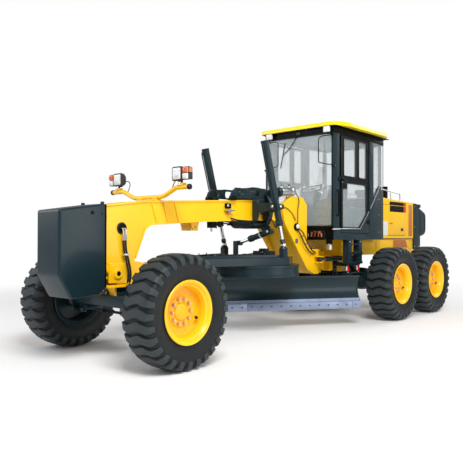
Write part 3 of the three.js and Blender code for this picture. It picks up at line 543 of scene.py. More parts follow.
wheelValues = {
    "track": 1.095, "treadRadius": 0.6675, "lugs": 28, "grooveShare": 0.76,
    "nuts": 10, "nutCircle": 0.144, "discPlace": 0.045,
}
carcassLine = [(0.328, 0.172), (0.372, 0.182), (0.395, 0.190), (0.430, 0.206), (0.480, 0.219), (0.530, 0.222),
               (0.570, 0.217), (0.600, 0.206), (0.620, 0.185), (0.632, 0.150), (0.636, 0.080)]
lugLine = [(-0.2215, 0.548, 0.004), (-0.220, 0.566, 0.010), (-0.213, 0.592, 0.016), (-0.200, 0.612, 0.024),
           (-0.180, 0.624, 0.029), (-0.140, 0.631, 0.031), (-0.095, 0.634, 0.032), (-0.045, 0.636, 0.0315),
           (0.010, 0.636, 0.0315), (0.065, 0.635, 0.0315), (0.110, 0.633, 0.032), (0.150, 0.630, 0.031),
           (0.182, 0.623, 0.029), (0.201, 0.611, 0.024), (0.213, 0.592, 0.016), (0.220, 0.566, 0.010),
           (0.2215, 0.548, 0.004)]
zigzagLine = [(-0.23, 0.034), (-0.19, 0.034), (-0.10, 0.0), (0.055, 0.052), (0.18, 0.008), (0.23, 0.004)]


def tyreMesh():
    shape = Shape()
    outer = [(x, r) for r, x in carcassLine]
    profile = [(r, -x) for x, r in outer] + [(0.637, 0.0)] + [(r, x) for x, r in reversed(outer)]
    profile += [(0.322, 0.150), (0.322, -0.150)]
    shape.lathe(profile, "tyre", direction=(1, 0, 0), segments=96)
    for radius in (0.402, 0.418):  # the ridges near the bead
        for side in (-1, 1):
            x = side * along([(r, x) for r, x in carcassLine], radius)
            ring = [(radius, x - side * 0.004), (radius + 0.005, x + side * 0.004),
                    (radius + 0.010, x + side * 0.0005)]
            shape.lathe(ring, "tyre", direction=(1, 0, 0), segments=96)
    pitch = 2 * math.pi / wheelValues["lugs"]
    count = len(lugLine)
    for n in range(wheelValues["lugs"]):
        rings = []
        for i, (x, r, height) in enumerate(lugLine):
            x0, r0, _ = lugLine[max(0, i - 1)]
            x1, r1, _ = lugLine[min(count - 1, i + 1)]
            normal = Vector((-(r1 - r0), x1 - x0)).normalized()
            if i in (0, count - 1):
                normal = Vector((math.copysign(1, x), 0.0))
            edge = abs(x) / 0.222
            half = 0.5 * pitch * (wheelValues["grooveShare"] - 0.26 * edge ** 3)
            middle = n * pitch + along(zigzagLine, x) / wheelValues["treadRadius"]
            ring = []
            for out, wide in ((-0.006, 1.0), (height * 0.80, 0.93), (height, 0.84),
                              (height, -0.84), (height * 0.80, -0.93), (-0.006, -1.0)):
                px, pr = x + normal.x * out, r + normal.y * out
                angle = middle + half * wide
                ring.append(Vector((px, pr * math.sin(angle), pr * math.cos(angle))))
            rings.append(ring)
        # each lug in the lighter rubber as painted highlight
        shape.loft(rings, "tread")
    return shape.data("tyre")


def rimMesh():
    shape = Shape()
    disc = wheelValues["discPlace"]
    flange = [
        (0.2865, 0.100), (0.296, 0.150), (0.303, 0.162), (0.318, 0.166), (0.325, 0.176), (0.334, 0.190),
        (0.350, 0.202),
        (0.366, 0.205), (0.371, 0.200), (0.371, 0.190), (0.360, 0.186), (0.336, 0.184), (0.325, 0.172),
        (0.3235, 0.100),
    ]
    shape.lathe(flange, "yellow", direction=(1, 0, 0), segments=80)
    # barrel, disc and hub parts in the deeper orange rim paint: painted shade in the wheel's recess
    barrel = [
        (0.0, disc + 0.022), (0.085, disc + 0.022), (0.098, disc + 0.016), (0.102, disc + 0.006),
        (0.108, disc + 0.006), (0.112, disc + 0.012), (0.172, disc + 0.012), (0.184, disc), (0.262, disc),
        (0.276, disc + 0.004), (0.2835, disc + 0.016), (0.2865, 0.100), (0.3235, 0.100), (0.3235, 0.020),
        (0.290, 0.020), (0.280, disc - 0.016), (0.120, disc - 0.016), (0.112, 0.0), (0.0, 0.0),
    ]
    shape.lathe(barrel, "rim", direction=(1, 0, 0), segments=80)
    # inboard half of the rim and the back of the disc in dark paint: painted shade where the real rim is
    # yellow
    inboardPaintedShade = [
        (0.290, 0.019), (0.3235, 0.019), (0.325, -0.172), (0.336, -0.184), (0.360, -0.186), (0.371, -0.190),
        (0.371, -0.200), (0.360, -0.205), (0.338, -0.192), (0.312, -0.180), (0.304, -0.150), (0.300, -0.020),
    ]
    shape.lathe(inboardPaintedShade, "dark", direction=(1, 0, 0), segments=72)
    shape.lathe([(0.0, -0.001), (0.284, -0.001), (0.284, disc - 0.017), (0.278, disc - 0.018),
                 (0.120, disc - 0.017),
                 (0.112, -0.059), (0.0, -0.059)], "dark", direction=(1, 0, 0), segments=72)
    shape.lathe([(0.090, disc + 0.020), (0.094, disc + 0.0245), (0.098, disc + 0.016)], "rim",
                direction=(1, 0, 0), segments=48)
    for n in range(wheelValues["nuts"]):
        turn = 2 * math.pi * (n + 0.5) / wheelValues["nuts"]
        at = Vector((disc + 0.012, wheelValues["nutCircle"] * math.sin(turn),
                     wheelValues["nutCircle"] * math.cos(turn)))
        shape.lathe([(0, 0.0), (0.025, 0.0), (0.023, 0.006), (0, 0.006)], "copper", at, (1, 0, 0), 18)
        shape.bolt(at + Vector((0.005, 0, 0)), (1, 0, 0), 0.0175, 0.022, "steel", washer=False)
        shape.rod(at + Vector((0.024, 0, 0)), at + Vector((0.038, 0, 0)), 0.009, "steel", 10, 0.002)
    for n in range(3):  # plugs in the hub cap
        turn = 2 * math.pi * n / 3
        shape.rod((disc + 0.018, 0.055 * math.sin(turn), 0.055 * math.cos(turn)),
                  (disc + 0.028, 0.055 * math.sin(turn), 0.055 * math.cos(turn)), 0.009, "rim", 12, 0.002)
    valve = math.radians(112)  # the valve stem with its cap, and its guard
    v = Vector((0, math.sin(valve), math.cos(valve)))
    start = v * 0.262 + Vector((disc + 0.002, 0, 0))
    shape.tube([start, start + Vector((0.030, 0, 0)) - v * 0.004, start + Vector((0.046, 0, 0)) - v * 0.026],
               0.008, "copper", 8, 5)
    shape.rod(start + Vector((0.044, 0, 0)) - v * 0.020, start + Vector((0.060, 0, 0)) - v * 0.058, 0.017,
              "seal", 16)
    return shape.data("rim")


def makeWheels():
    tyre, rim = tyreMesh(), rimMesh()
    for axle in ("front", "middle", "rear"):
        for word, side in sides:
            low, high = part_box(f"{axle}_{word}_rim")
            body = f"{axle}_{word}_wheel"
            at = (side * wheelValues["track"], (low.y + high.y) / 2, axleZ)
            turn = 0.0 if side > 0 else math.pi
            rideMesh(f"tyre.{axle}.{word}", tyre, body, "tyre", f"{axle}_{word}_tyre", location=at, turn=turn)
            rideMesh(f"rim.{axle}.{word}", rim, body, "yellow_paint", f"{axle}_{word}_rim", location=at,
                     turn=turn)
    print("wheels made")


makeWheels()


columnValues = {"hoseHole": (-0.122, 1.626), "boss": (-0.198, 1.069), "ribs": (0.36, 0.56, 0.76)}
beamSide = 0.21


def beamTopAt(back):
    return 1.98 + (back - 0.21) / 2.16 * 0.114


def makeFrontFrame():
    dress("front_frame", "yellow", 0.008)
    trim = Shape()
    # flange strips that stand proud along the beam's top and bottom edges
    topLine = [(-0.368, 1.905), (0.21, 1.98), (2.37, 2.094), (3.05, 2.06)]
    for side in (-1, 1):
        x0, x1 = sorted((side * (beamSide - 0.004), side * (beamSide + 0.016)))
        upper = [(b, z + 0.004) for b, z in topLine]
        lower = [(b, z - 0.018) for b, z in reversed(topLine)]
        trim.prism(upper + lower, "x", x0, x1, "yellow", 0.003)
        curve = [(0.10, 1.25), (0.255, 1.615), (0.35, 1.676), (1.27, 1.736), (2.72, 1.796)]
        inside = [(b - 0.008, z + 0.020) for b, z in reversed(curve)]
        trim.prism([(b, z - 0.004) for b, z in curve] + inside, "x", x0, x1, "yellow", 0.003)
        # slanted stiffeners
        for start in columnValues["ribs"]:
            foot, head = start + 0.085, start
            trim.prism([(head - 0.007, beamTopAt(head) - 0.03), (head + 0.007, beamTopAt(head) - 0.03),
                        (foot + 0.007, 1.705), (foot - 0.007, 1.705)], "x", x0, x1, "yellow", 0.003)
        # seam of the column, its boss and the hose opening
        edge = side * beamSide
        back, z = columnValues["boss"]
        trim.prism(rounded([(-0.325, 0.955), (-0.055, 0.945), (-0.045, 1.19), (-0.31, 1.20)], 0.02), "x",
                   *sorted((edge - side * 0.004, edge + side * 0.020)), "yellow", 0.004)
        trim.rod(place(edge, back, z), place(edge + side * 0.052, back, z), 0.062, "yellow", 32, 0.006)
        trim.rod(place(edge + side * 0.045, back, z), place(edge + side * 0.056, back, z), 0.030, "black", 24)
        back, z = columnValues["hoseHole"]
        trim.lathe([(0.052, 0.0), (0.072, 0.0), (0.074, 0.010), (0.066, 0.016), (0.054, 0.014)], "seal",
                   place(edge, back, z), (side, 0, 0), 36)
        trim.lathe([(0.0, -0.002), (0.054, -0.002), (0.054, 0.004), (0.0, 0.004)], "black",
                   place(edge, back, z), (side, 0, 0), 36)
        for step in range(5):  # bolts down the plate that holds the counterweight
            trim.bolt(place(edge, -0.345, 1.02 + step * 0.19), (side, 0, 0), 0.013, 0.012, "yellow")
        # black box and pressed cover where the hoses leave the beam
        trim.block(*sorted((edge - side * 0.002, edge + side * 0.045)), 1.770, 1.875, 1.945, 2.020, "black",
                   0.012, 3)
        trim.rod(place(edge + side * 0.040, 1.80, 1.985), place(edge + side * 0.052, 1.80, 1.985), 0.020,
                 "steel", 16)
        trim.prism(rounded([(1.74, 1.905), (1.92, 1.905), (1.92, 1.926), (1.74, 1.926)], 0.008), "x",
                   *sorted((edge - side * 0.002, edge + side * 0.075)), "steel", 0.003)
        trim.rod(place(edge + side * 0.045, 1.82, 1.905), place(edge + side * 0.045, 1.82, 1.850), 0.022,
                 "copper", 14)
        trim.rod(place(edge + side * 0.045, 1.86, 1.905), place(edge + side * 0.045, 1.86, 1.865), 0.013,
                 "steel", 14)
    trim.prism([(-0.345, 0.898), (0.22, 0.898), (0.22, 0.922), (-0.345, 0.922)], "x", -0.245, 0.245, "yellow",
               0.004)
    trim.ride("columnTrim", "front_body", "yellow_paint")

    lines = Shape()
    for side in (-1, 1):
        edge = side * (beamSide + 0.012)
        for n, shift in enumerate((0.0, 0.034)):
            top = place(edge, -0.135 + shift, 1.625)
            lines.tube([top, top + Vector((side * 0.035, 0.0, -0.012)),
                        place(edge + side * 0.035, -0.128 + shift, 1.54)],
                       0.012, "steel", 10)
            lines.rod(place(edge + side * 0.035, -0.128 + shift, 1.545),
                      place(edge + side * 0.034, -0.127 + shift, 1.475),
                      0.017, "steel", 6, 0.002)
            lines.tube([place(edge + side * 0.034, -0.127 + shift, 1.485),
                        place(edge + side * 0.030, -0.115 + shift, 1.36),
                        place(edge + side * 0.036, -0.08 + shift, 1.22),
                        place(edge + side * 0.030, -0.045 + shift, 1.08),
                        place(edge + side * 0.004, -0.03 + shift, 0.98),
                        place(edge - side * 0.05, -0.02 + shift, 0.91)],
                       0.0125, "hose", 10)
        lines.block(*sorted((edge, edge + side * 0.055)), -0.125, -0.045, 1.285, 1.310, "steel", 0.003)
        # pipes clipped along the lower edge of the beam
        for n, drop in enumerate((0.0, 0.030)):
            lines.tube([place(edge + side * 0.004, 1.90, 1.800 - drop),
                        place(edge + side * 0.010, 2.05, 1.775 - drop),
                        place(edge + side * 0.014, 2.30, 1.765 - drop),
                        place(edge + side * 0.010, 2.42, 1.755 - drop)],
                       0.011, "hose", 8)
    # the wedge bracket under the beam, with its hanging lock and cable
    lines.prism([(1.165, 1.752), (1.345, 1.758), (1.315, 1.668), (1.275, 1.625), (1.225, 1.625),
                 (1.190, 1.660)], "x", -0.115, 0.115, "yellow", 0.006)
    lines.rod(place(-0.13, 1.25, 1.66), place(0.13, 1.25, 1.66), 0.014, "steel", 14)
    lines.block(-0.05, 0.05, 1.66, 1.76, 1.655, 1.762, "black", 0.008)
    lines.ride("frameLines", "front_body", "black_plastic")

    wire = Shape()
    # stop rod between the beam and the drawbar's nose bracket
    wire.rod(place(0, 1.71, 1.67), place(0, 1.71, 1.60), 0.017, "steel", 12)
    wire.ride("beamStop", "front_body", "steel")
    print("front frame made")


def makeCounterweight():
    low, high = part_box("counterweight")
    shape = Shape()
    front, back = low.y - frontAxleY, high.y - frontAxleY
    side = [(back, 0.90), (back, high.z), (back - 0.06, high.z), (front, high.z - 0.085),
            (front, 1.07), (front + 0.16, 0.80), (back - 0.09, 0.83)]
    shape.prism(side, "x", low.x, high.x, "dark", 0.030, 4)
    for x in (-1, 1):
        edge = x * high.x
        shape.rod(place(edge - x * 0.01, back - 0.20, high.z - 0.11),
                  place(edge + x * 0.004, back - 0.20, high.z - 0.11),
                  0.024, "black", 24, 0.002)
        shape.block(*sorted((x * 0.19, x * 0.215)), back - 0.055, back - 0.012, high.z - 0.01, high.z + 0.028,
                    "dark", 0.006)
        for z in (1.0, 1.8):
            shape.bolt(place(edge, back - 0.05, z), (x, 0, 0), 0.016, 0.014, "dark")
    # the joint between the cast block and its mounting plate
    shape.block(low.x - 0.006, high.x + 0.006, back - 0.012, back - 0.001, 0.905, high.z - 0.004, "black",
                0.002)
    shape.ride("counterweight.cast", "front_body", "dark_paint", "counterweight")


def makeLightBar():
    low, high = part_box("light_bar")
    barBack = (low.y + high.y) / 2 - frontAxleY
    shape = Shape()
    line = [(-0.765, 2.150), (-0.66, 2.150), (-0.54, 2.146), (-0.46, 2.115), (-0.33, 2.062), (-0.25, 2.047),
            (-0.12, 2.045),
            (0.12, 2.045), (0.25, 2.047), (0.33, 2.062), (0.46, 2.115), (0.54, 2.146), (0.66, 2.150),
            (0.765, 2.150)]
    shape.tube([place(x, barBack, z) for x, z in line], 0.030, "yellow", 16, 6)
    foot = beamTopAt(barBack + 0.06)
    shape.block(-0.19, 0.19, barBack - 0.06, barBack + 0.06, foot + 0.0005, foot + 0.018, "yellow", 0.004)
    for x in (-0.15, 0.15):
        shape.prism(rounded([(x - 0.034, foot + 0.016), (x + 0.034, foot + 0.016), (x + 0.030, 2.05),
                             (x - 0.030, 2.05)],
                            0.006), "y", barBack - 0.05, barBack + 0.05, "yellow", 0.003)
    for x in (-0.05, 0.05):
        shape.bolt(place(x, barBack - 0.045, foot + 0.018), (0, 0, 1), 0.010, 0.010, "steel")
    for side in (-1, 1):
        shape.rod(place(side * 0.762, barBack, 2.150), place(side * 0.802, barBack, 2.150), 0.036, "seal", 20,
                  0.006)
        shape.block(*span(side, 0.600, 0.690), barBack - 0.035, barBack + 0.035, 2.165, 2.205, "yellow",
                    0.005)
        shape.rod(place(side * 0.645, barBack, 2.20), place(side * 0.645, barBack, 2.245), 0.013, "black", 12)
        shape.bolt(place(side * 0.645, barBack - 0.036, 2.185), (0, -1, 0), 0.011, 0.010, "steel")
    shape.ride("lightBar.tube", "front_body", "yellow_paint", "light_bar")
    for word, side in sides:
        lamp = Shape()
        at = Vector((side * 0.610, barBack, 2.320))
        half = 0.085
        rings = []
        for depth, grow, radius in ((-0.062, 0.0, 0.022), (-0.052, 0.006, 0.026), (-0.030, 0.006, 0.026),
                                    (0.010, -0.004, 0.026), (0.050, -0.030, 0.024), (0.058, -0.042, 0.020)):
            rings.append([place(at.x + a, at.y + depth, at.z + b)
                          for a, b in rectangle(-half - grow, half + grow, -half - grow, half + grow, radius,
                                                5)])
        lamp.loft(rings, "plastic")
        lens = []
        for depth, inset in ((-0.060, 0.013), (-0.067, 0.013), (-0.073, 0.026), (-0.076, 0.045)):
            lens.append([place(at.x + a, at.y + depth, at.z + b) for a, b in
                         rectangle(-half + inset, half - inset, -half + inset, half - inset, 0.014, 5)])
        lamp.loft(lens, "lamp")
        # the indicator beside the work lamp
        ax = at.x + side * 0.150
        rings = []
        for depth, grow in ((-0.045, -0.004), (-0.030, 0.002), (0.035, -0.006), (0.044, -0.016)):
            rings.append([place(ax + a, at.y + depth, at.z + b)
                          for a, b in rectangle(-0.048 - grow, 0.048 + grow, -0.082 - grow, 0.082 + grow,
                                                0.012, 4)])
        lamp.loft(rings, "plastic")
        for z0, z1, tint in ((0.004, 0.076, "amber"), (-0.076, -0.004, "white")):
            rings = []
            for depth, inset in ((-0.040, 0.0), (-0.062, 0.002), (-0.070, 0.012)):
                rings.append([place(ax + a, at.y + depth, at.z + b)
                              for a, b in rectangle(-0.044 + inset, 0.044 - inset, z0 + inset, z1 - inset,
                                                    0.008, 4)])
            lamp.loft(rings, tint)
        for z0, z1, tint in ((0.010, 0.070, "amber"),):
            lamp.block(*sorted((ax + side * 0.040, ax + side * 0.060)), at.y - 0.035, at.y + 0.020, at.z + z0,
                       at.z + z1,
                       tint, 0.006)
        lamp.block(at.x - 0.03, at.x + 0.03, at.y - 0.014, at.y + 0.014, at.z - 0.098, at.z - 0.084, "black",
                   0.003)
        lamp.tube([place(at.x - side * 0.02, at.y + 0.055, at.z - 0.02),
                   place(at.x - side * 0.08, at.y + 0.075, at.z - 0.02),
                   place(at.x - side * 0.145, at.y + 0.05, at.z - 0.08),
                   place(at.x - side * 0.15, at.y + 0.01, at.z - 0.17),
                   place(at.x - side * 0.10, at.y, at.z - 0.200)], 0.006, "hose", 8)
        lamp.ride(f"frontLamp.{word}", "front_body", "black_plastic")
    print("light bar made")


makeFrontFrame()
makeCounterweight()
makeLightBar()


gearValues = {
    "ringBack": 2.70, "ringThick": 0.065, "ringRadius": 0.375,
    "ringHeight": 1.955, "ringFloor": 1.655, "liftPin": (0.62, 2.50, 1.985), "liftFoot": (0.62, 2.68, 1.390),
    "liftTop": 2.96,
    "shiftPin": (0.35, 2.70, 1.61), "shiftFoot": (-0.30, 2.70, 1.42),
}


def ringOutline(radius, count=48):
    middle = gearValues["ringHeight"]
    return [(radius * math.sin(2 * math.pi * i / count),
             max(gearValues["ringFloor"],
                 middle + radius * math.cos(2 * math.pi * i / count))) for i in range(count)]


def makeSaddle():
    v = gearValues
    shape = Shape()
    for back, radius, thick in ((v["ringBack"] - v["ringThick"] / 2, v["ringRadius"], v["ringThick"]),
                                (2.40, 0.335, 0.045)):
        outer = ringOutline(radius)
        outer, inner = matched(outer, rectangle(-0.222, 0.222, v["ringHeight"] - 0.175,
                                                v["ringHeight"] + 0.160))
        shape.frame(outer, inner, "y", back, back + thick, "dark", 0.006)
        # a raised rim round the plate
        rim = [(x * 0.94, v["ringHeight"] + (z - v["ringHeight"]) * 0.94) for x, z in ringOutline(radius)]
        shape.frame(ringOutline(radius), rim, "y", back - 0.014, back + thick + 0.014, "dark", 0.004)
    for side in (-1, 1):
        # long plates above the beam with oval openings, joined by a cover
        x0, x1 = sorted((side * 0.226, side * 0.268))
        top = [(1.855, 2.120), (1.905, 2.215), (1.990, 2.262), (2.66, 2.290), (2.745, 2.255), (2.765, 2.120)]
        holes = ((1.99, 2.13), (2.26, 2.52))
        edges = [1.855, holes[0][0] - 0.02, holes[0][1] + 0.02, holes[1][0] - 0.02, holes[1][1] + 0.02, 2.765]

        def ceiling(b):
            return along([(p, z) for p, z in top], b)
        for b0, b1 in ((edges[0], edges[1]), (edges[2], edges[3]), (edges[4], edges[5])):
            line = [(b0, 2.122), (b0, ceiling(b0))]
            line += [(b, ceiling(b)) for b in (1.905, 1.990, 2.66, 2.745) if b0 < b < b1]
            line += [(b1, ceiling(b1)), (b1, 2.122)]
            shape.prism(line, "x", x0, x1, "dark", 0.003)
        for h0, h1 in holes:
            level = (ceiling(h0) + ceiling(h1)) / 2
            outer, inner = matched(rectangle(h0 - 0.02, h1 + 0.02, 2.122, level),
                                   rectangle(h0 + 0.004, h1 - 0.004, 2.143, level - 0.030, 0.045, 6))
            shape.frame(outer, inner, "x", x0, x1, "dark", 0.0)
        shape.block(x0 - 0.01, x1 + 0.01, 2.36, 2.74, 1.705, 1.735, "dark", 0.006)
        # the arms that hold the gimbal's pins
        px, pb, pz = v["liftPin"]
        for b in (pb - 0.1063, pb + 0.0843):
            arm = [(side * 0.235, pz - 0.115), (side * 0.30, pz - 0.105), (side * (px + 0.018), pz - 0.048),
                   (side * (px + 0.036), pz - 0.020), (side * (px + 0.036), pz + 0.022),
                   (side * (px + 0.018), pz + 0.045),
                   (side * 0.32, pz + 0.080), (side * 0.235, pz + 0.100)]
            shape.prism(arm, "y", b, b + 0.022, "dark", 0.003)
        for b, way in ((pb - 0.1063, -1), (pb + 0.1063, 1)):
            shape.bolt(place(side * px, b, pz), (0, way, 0), 0.020, 0.018, "steel")
        shape.prism([(2.39, 2.07), (2.61, 2.07), (2.60, 2.12), (2.40, 2.12)], "x",
                    *span(side, 0.235, 0.305), "dark", 0.005)
    # the bearing blocks under the front end
    for side in (-1, 1):
        shape.block(*span(side, 0.215, 0.285), 1.86, 1.97, 2.070, 2.135, "black", 0.010, 3)
    lug = v["shiftPin"]
    shape.prism(rounded([(0.24, 1.78), (0.40, 1.68), (0.405, 1.575), (0.36, 1.555), (0.30, 1.57),
                         (0.20, 1.66)], 0.02), "y", lug[1] - 0.083, lug[1] - 0.052, "dark", 0.003)
    shape.bolt(place(lug[0], lug[1] - 0.083, lug[2]), (0, -1, 0), 0.017, 0.014, "steel")
    shape.ride("saddle.frame", "front_body", "dark_paint", "saddle")

    lock = Shape()
    # the lock-pin cylinder behind the saddle, with its fittings and hoses
    lock.rod(place(0.285, 2.755, 2.235), place(0.296, 2.960, 2.252), 0.046, "dark", 28, 0.006)
    lock.rod(place(0.296, 2.945, 2.251), place(0.299, 3.020, 2.257), 0.080, "dark", 32, 0.010)
    lock.rod(place(0.299, 3.015, 2.257), place(0.303, 3.300, 2.278), 0.072, "steel", 40, 0.008)
    lock.rod(place(0.303, 3.295, 2.278), place(0.304, 3.350, 2.282), 0.078, "steel", 32, 0.008)
    lock.rod(place(0.304, 3.345, 2.282), place(0.305, 3.425, 2.287), 0.038, "steel", 28, 0.006)
    lock.block(0.262, 0.330, 2.745, 2.860, 2.150, 2.215, "dark", 0.010)
    for b, z in ((3.06, 2.345), (3.27, 2.360)):
        lock.rod(place(0.300, b, z - 0.030), place(0.300, b, z + 0.014), 0.018, "steel", 6, 0.002)
        lock.tube([place(0.300, b, z + 0.008), place(0.296, b + 0.01, z + 0.035),
                   place(0.270, b + 0.035, z + 0.030), place(0.240, b + 0.040, z - 0.04),
                   place(0.225, b + 0.03, 2.20), place(0.222, b, 2.12)], 0.010, "hose", 8)
    lock.ride("lockCylinder", "front_body", "steel")
    print("saddle made")


def barrelLine(shape, start, end, radius, ports, pipeSide, finish="dark"):
    # a welded tube with a base, a gland, port bosses and a steel feed pipe
    a, b = Vector(start), Vector(end)
    d = (b - a).normalized()
    long = (b - a).length
    shape.lathe([(0, 0), (radius * 0.86, 0), (radius * 1.02, 0.012), (radius * 1.02, 0.060), (radius, 0.068),
                 (radius, long - 0.085), (radius * 1.13, long - 0.078), (radius * 1.13, long - 0.026),
                 (radius * 1.04, long - 0.020), (radius * 1.04, long - 0.006), (radius * 0.95, long),
                 (0, long)], finish, a, d, 36)
    out = Vector(pipeSide)
    out = (out - d * out.dot(d)).normalized()
    for at in ports:
        shape.rod(a + d * at + out * radius * 0.9, a + d * at + out * (radius + 0.030), 0.018, finish, 16,
                  0.003)
    first, last = a + d * ports[0], a + d * ports[-1]
    lift = out * (radius + 0.026)
    shape.tube([first + lift, first + lift * 1.12 + d * 0.05, first + lift * 1.12 + d * 0.16,
                last + lift * 1.12 - d * 0.12, last + lift], 0.010, finish, 8, 5)


def makeCylinders():
    v = gearValues
    for word, side in sides:
        pin = place(side * v["liftPin"][0], v["liftPin"][1], v["liftPin"][2])
        foot = place(side * v["liftFoot"][0], v["liftFoot"][1], v["liftFoot"][2])
        d = (foot - pin).normalized()
        up = (v["liftTop"] - pin.z) / -d.z
        barrel = Shape()
        start, end = pin - d * up, pin + d * 0.300
        barrelLine(barrel, start, end, 0.052, (0.055, up + 0.245), (side * 0.2, -1.0, 0))
        barrel.rod(pin - Vector((0.0565, 0, 0)), pin + Vector((0.0565, 0, 0)), 0.026, "steel", 24)
        barrel.lathe([(0.050, -0.036), (0.060, -0.032), (0.060, 0.032), (0.050, 0.036)], "dark", pin, d, 36)
        # the upper tube is wider than its part in the gimbal
        barrel.lathe([(0.050, 0.010), (0.060, 0.020), (0.060, up - 0.115), (0.0555, up - 0.095),
                      (0.050, up - 0.090)], "dark",
                     start, d, 36)
        barrel.rod(start - d * 0.004, start + d * 0.030, 0.064, "dark", 32, 0.006)
        # hoses that loop down from the pipe's lower end to the gimbal
        barrel.tube([end - d * 0.05 + Vector((side * 0.012, -0.078, 0)),
                     end + Vector((side * 0.012, -0.100, -0.03)),
                     end - d * 0.02 + Vector((-side * 0.02, -0.130, 0.02)),
                     pin + Vector((-side * 0.035, -0.120, -0.12)),
                     pin + Vector((-side * 0.035, -0.070, -0.060))], 0.010, "hose", 8)
        barrel.ride(f"liftBarrel.{word}", f"lift_cylinder_{word}_barrel", "dark_paint",
                    f"lift_cylinder_{word}_barrel")
        rod = Shape()
        rod.lathe([(0, 0), (0.026, 0), (0.028, 0.003), (0.028,  (foot - pin).length + 0.300 - 0.052),
                   (0.024, (foot - pin).length + 0.300 - 0.040), (0, (foot - pin).length + 0.300 - 0.040)],
                  "chrome", pin - d * 0.300, d, 32)
        rod.ball(foot, 0.042, "chrome", 28)
        rod.lathe([(0.028, -0.105), (0.040, -0.095), (0.040, -0.045), (0.030, -0.030), (0.020, -0.030),
                   (0.020, -0.105)],
                  "cast", foot, d, 28)
        rod.ride(f"liftRod.{word}", f"lift_cylinder_{word}_rod", "chrome", f"lift_cylinder_{word}_rod")
        dress(f"lift_gimbal_{word}", "dark", 0.004)
        cap = Shape()
        for x in (-1, 1):
            cap.bolt(pin + Vector((x * 0.085, 0, 0)), (x, 0, 0), 0.018, 0.014, "steel")
        cap.ride(f"gimbalCaps.{word}", f"lift_gimbal_{word}", "steel")

        # articulation cylinder
        base = place(side * 0.400, 4.760, 1.130)
        eye = place(side * 0.395, 4.050, 1.130)
        d = (eye - base).normalized()
        barrel = Shape()
        barrelLine(barrel, base + d * 0.030, base + d * 0.500, 0.040, (0.045, 0.42), (side, 0, 0.3))
        barrel.lathe([(0.018, -0.041), (0.040, -0.041), (0.043, -0.036), (0.043, 0.036), (0.040, 0.041),
                      (0.018, 0.041)],
                     "dark", base, (0, 0, 1), 28)
        barrel.rod(base - Vector((0, 0, 0.062)), base + Vector((0, 0, 0.052)), 0.0185, "steel", 20)
        barrel.ride(f"articulationBarrel.{word}", f"articulation_cylinder_{word}_barrel", "dark_paint",
                    f"articulation_cylinder_{word}_barrel")
        rod = Shape()
        rod.rod(base + d * 0.230, eye - d * 0.032, 0.022, "chrome", 24)
        rod.lathe([(0.018, -0.041), (0.038, -0.041), (0.040, -0.036), (0.040, 0.036), (0.038, 0.041),
                   (0.018, 0.041)],
                  "dark", eye, (0, 0, 1), 28)
        rod.rod(eye - Vector((0, 0, 0.060)), eye + Vector((0, 0, 0.060)), 0.0185, "steel", 20)
        rod.ride(f"articulationRod.{word}", f"articulation_cylinder_{word}_rod", "chrome",
                 f"articulation_cylinder_{word}_rod")

    pin, eye = place(*v["shiftPin"]), place(*v["shiftFoot"])
    d = (eye - pin).normalized()
    barrel = Shape()
    barrelLine(barrel, pin + d * 0.030, pin + d * 0.455, 0.048, (0.05, 0.37), (0, 1, -0.2))
    barrel.lathe([(0.018, -0.050), (0.040, -0.050), (0.043, -0.044), (0.043, 0.044), (0.040, 0.050),
                  (0.018, 0.050)],
                 "dark", pin, (0, 1, 0), 28)
    barrel.rod(pin - Vector((0, 0.075, 0)), pin + Vector((0, 0.056, 0)), 0.0185, "steel", 20)
    for n, at in enumerate((0.110, 0.395)):
        port = pin + d * at + Vector((0, 0.045, 0.010))
        barrel.rod(port, port + Vector((0, 0.026, 0)), 0.014, "steel", 6, 0.002)
        barrel.tube([port + Vector((0, 0.022, 0)), port + Vector((0.01, 0.050, 0.004)),
                     port - d * 0.05 + Vector((0, 0.055, 0.010)),
                     pin + d * 0.06 + Vector((0, 0.092, 0.012 * n)), pin + Vector((0, 0.088, 0.012 * n))],
                    0.010, "hose", 8)
    barrel.lathe([(0.046, -0.016), (0.056, -0.012), (0.056, 0.012), (0.046, 0.016)], "steel", pin + d * 0.20,
                 d, 28)
    barrel.ride("shiftBarrel", "centre_shift_cylinder_barrel", "dark_paint", "centre_shift_cylinder_barrel")
    rod = Shape()
    rod.rod(pin + d * 0.330, eye - d * 0.030, 0.025, "chrome", 24)
    rod.lathe([(0.018, -0.050), (0.038, -0.050), (0.040, -0.044), (0.040, 0.044), (0.038, 0.050),
               (0.018, 0.050)], "cast", eye, (0, 1, 0), 28)
    rod.rod(eye - Vector((0, 0.052, 0)), eye + Vector((0, 0.052, 0)), 0.0185, "steel", 20)
    rod.ride("shiftRod", "centre_shift_cylinder_rod", "chrome", "centre_shift_cylinder_rod")
    print("cylinders made")


makeSaddle()
makeCylinders()


bladeValues = {"turn": math.radians(56.4), "centre": 2.67, "half": 2.045, "offset": -0.06, "top": 0.858,
               "bottom": 0.300,
               "bolts": 24}


def inCircle(u, v, z):
    # u runs along the blade, v square to it, both from the circle's centre
    c, s = math.cos(bladeValues["turn"]), math.sin(bladeValues["turn"])
    return place(u * c - v * s, bladeValues["centre"] + u * s + v * c, z)


